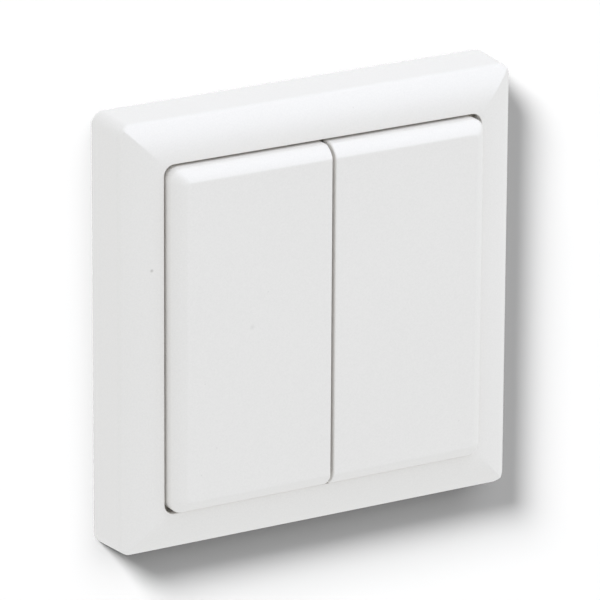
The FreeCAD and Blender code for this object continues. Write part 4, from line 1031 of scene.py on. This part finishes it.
class WALLSWITCH_OT_return_domes(bpy.types.Operator):
    """Builds the rubber domes, which give way between switch housing and plunger"""

    bl_idname = "wall_switch.return_domes"
    bl_label = "Return Domes"

    def execute(self, context):
        for name in SWITCHES:
            node = f"return_dome_{name}"
            low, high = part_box(node)
            mesh = dome_mesh(context.scene.wall_switch.dome, low, high)
            dome = add_piece(context, f"{node}_rubber", mesh, "housing", "dome_rubber", node)
            # The blend alone moves the dome, so it keeps no parent.
            dome.parent = None
            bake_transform(dome)
        return {"FINISHED"}


# Carried-over CAD nodes


class WALLSWITCH_OT_module(bpy.types.Operator):
    """Finishes the plates, board, cell and switches that are shown as they were modelled"""

    bl_idname = "wall_switch.module"
    bl_label = "Module"

    def execute(self, context):
        settings = context.scene.wall_switch
        for subpart in frame["record"]["subparts"]:
            node = frame["nodes"][subpart["node"]]
            if node.hide_render:
                continue
            make = NODE_FINISHES.get(node.name, FINISHES[subpart["material_slot"]])
            node.data.materials.clear()
            node.data.materials.append(finish_named(make, settings))
            shading = node.modifiers.new("soft_shading", "NODES")
            shading.node_group = soft_shading()
        return {"FINISHED"}


# Studio


def seen_from(azimuth, elevation, distance):
    """A place at a distance from the middle, by its angle to the right of straight ahead and above it."""
    level = math.cos(elevation)
    direction = (math.sin(azimuth) * level, -math.cos(azimuth) * level, math.sin(elevation))
    return distance * Vector(direction)


def add_backdrop(context, studio):
    """The wall behind the switch, which can't be seen from the back and doesn't light the switch."""
    mesh = bmesh.new()
    place = Matrix.Translation((0.0, studio.backdrop_gap, 0.0)) @ UPRIGHT
    bmesh.ops.create_grid(mesh, x_segments=1, y_segments=1, size=studio.backdrop_half, matrix=place)
    data = bpy.data.meshes.new("backdrop")
    mesh.to_mesh(data)
    mesh.free()
    finish = Finish("backdrop")
    paint = finish.add("ShaderNodeBsdfDiffuse", sockets={"Color": opaque(studio.backdrop)})
    clear = finish.add("ShaderNodeBsdfTransparent")
    behind = finish.add("ShaderNodeNewGeometry", output="Backfacing")
    one_sided = finish.add("ShaderNodeMixShader", sockets={0: behind, 1: paint, 2: clear})
    finish.add("ShaderNodeOutputMaterial", sockets={"Surface": one_sided})
    data.materials.append(finish.material)
    backdrop = bpy.data.objects.new("backdrop", data)
    context.scene.collection.objects.link(backdrop)
    backdrop.visible_diffuse = False
    backdrop.visible_glossy = False
    return backdrop


def add_lamp(context, studio, name, data):
    """Puts a lamp where the settings of its name say, facing the middle."""
    lamp = bpy.data.objects.new(name, data)
    azimuth = getattr(studio, f"{name}_azimuth")
    elevation = getattr(studio, f"{name}_elevation")
    lamp.location = seen_from(azimuth, elevation, studio.lamp_distance)
    lamp.rotation_euler = (-lamp.location).to_track_quat("-Z", "Y").to_euler()
    context.scene.collection.objects.link(lamp)
    return lamp


def add_soft_lamp(context, studio, name):
    """A round soft lamp near the switch."""
    data = bpy.data.lights.new(name, "AREA")
    data.shape = "DISK"
    data.color = studio.skylight
    data.size = getattr(studio, f"{name}_size")
    data.energy = getattr(studio, f"{name}_power")
    return add_lamp(context, studio, name, data)


def add_backdrop_lamp(context, studio, name, receivers):
    """A far lamp that lights only the backdrop, evenly, and so casts the shadow there."""
    data = bpy.data.lights.new(name, "SUN")
    data.color = studio.daylight
    data.angle = getattr(studio, f"{name}_spread")
    data.energy = getattr(studio, f"{name}_strength")
    lamp = add_lamp(context, studio, name, data)
    lamp.light_linking.receiver_collection = receivers


def add_camera(context, studio):
    data = bpy.data.cameras.new("photograph")
    data.lens = studio.lens
    camera = bpy.data.objects.new("photograph", data)
    camera.location = seen_from(studio.azimuth, studio.elevation, studio.distance)
    ahead = (-camera.location).normalized()
    right = ahead.cross(Vector((0.0, 0.0, 1.0))).normalized()
    up = right.cross(ahead)
    target = studio.aim_right * right - studio.aim_down * up
    facing = (target - camera.location).to_track_quat("-Z", "Y")
    camera.rotation_euler = (facing.to_matrix() @ Matrix.Rotation(studio.roll, 3, "Z")).to_euler()
    context.scene.collection.objects.link(camera)
    context.scene.camera = camera


def add_world(context, studio):
    """Even light all round, which the camera and reflections see as plain white."""
    world = bpy.data.worlds.new("studio")
    world.use_nodes = True
    graph = Graph(world.node_tree)
    camera_ray = graph.add("ShaderNodeLightPath", output="Is Camera Ray")
    seen = camera_ray | camera_ray.also("Is Glossy Ray") | camera_ray.also("Is Transmission Ray")
    tint = graph.mix(seen, studio.daylight, (1.0, 1.0, 1.0))
    strength = studio.ambient + (1 - studio.ambient) * seen
    light = graph.add("ShaderNodeBackground", sockets={"Color": tint, "Strength": strength})
    graph.add("ShaderNodeOutputWorld", sockets={"Surface": light})
    context.scene.world = world


class WALLSWITCH_OT_studio(bpy.types.Operator):
    """Sets up the backdrop, the light and the camera of the photograph"""

    bl_idname = "wall_switch.studio"
    bl_label = "Studio"

    def execute(self, context):
        studio = context.scene.wall_switch.studio
        backdrop = add_backdrop(context, studio)
        add_world(context, studio)
        add_soft_lamp(context, studio, "key").visible_glossy = False
        add_soft_lamp(context, studio, "gloss").visible_diffuse = False
        receivers = bpy.data.collections.new("backdrop_only")
        receivers.objects.link(backdrop)
        for name in ("shadow", "rim"):
            add_backdrop_lamp(context, studio, name, receivers)
        add_camera(context, studio)
        context.scene.view_settings.view_transform = "Standard"
        return {"FINISHED"}


# Panel and registration

BUILD_STEPS = [
    WALLSWITCH_OT_cover_frame,
    WALLSWITCH_OT_rockers,
    WALLSWITCH_OT_return_domes,
    WALLSWITCH_OT_module,
    WALLSWITCH_OT_studio,
]


class WALLSWITCH_PT_sidebar(bpy.types.Panel):
    """Lists the building steps"""

    bl_idname = "WALLSWITCH_PT_sidebar"
    bl_label = "Wall Switch"
    bl_space_type = "VIEW_3D"
    bl_region_type = "UI"
    bl_category = "Wall Switch"

    def draw(self, context):
        for step in BUILD_STEPS:
            self.layout.operator(step.bl_idname)


CLASSES = [
    CoverFrameSizes,
    RockerSizes,
    DomeSizes,
    Colours,
    StudioSettings,
    WallSwitchSettings,
    *BUILD_STEPS,
    WALLSWITCH_PT_sidebar,
]


def register():
    for item in CLASSES:
        bpy.utils.register_class(item)
    bpy.types.Scene.wall_switch = PointerProperty(type=WallSwitchSettings)


def unregister():
    del bpy.types.Scene.wall_switch
    for item in reversed(CLASSES):
        bpy.utils.unregister_class(item)


def main():
    register()
    bpy.ops.wall_switch.cover_frame()
    bpy.ops.wall_switch.rockers()
    bpy.ops.wall_switch.return_domes()
    bpy.ops.wall_switch.module()
    bpy.ops.wall_switch.studio()


if __name__ == "__main__":
    main()
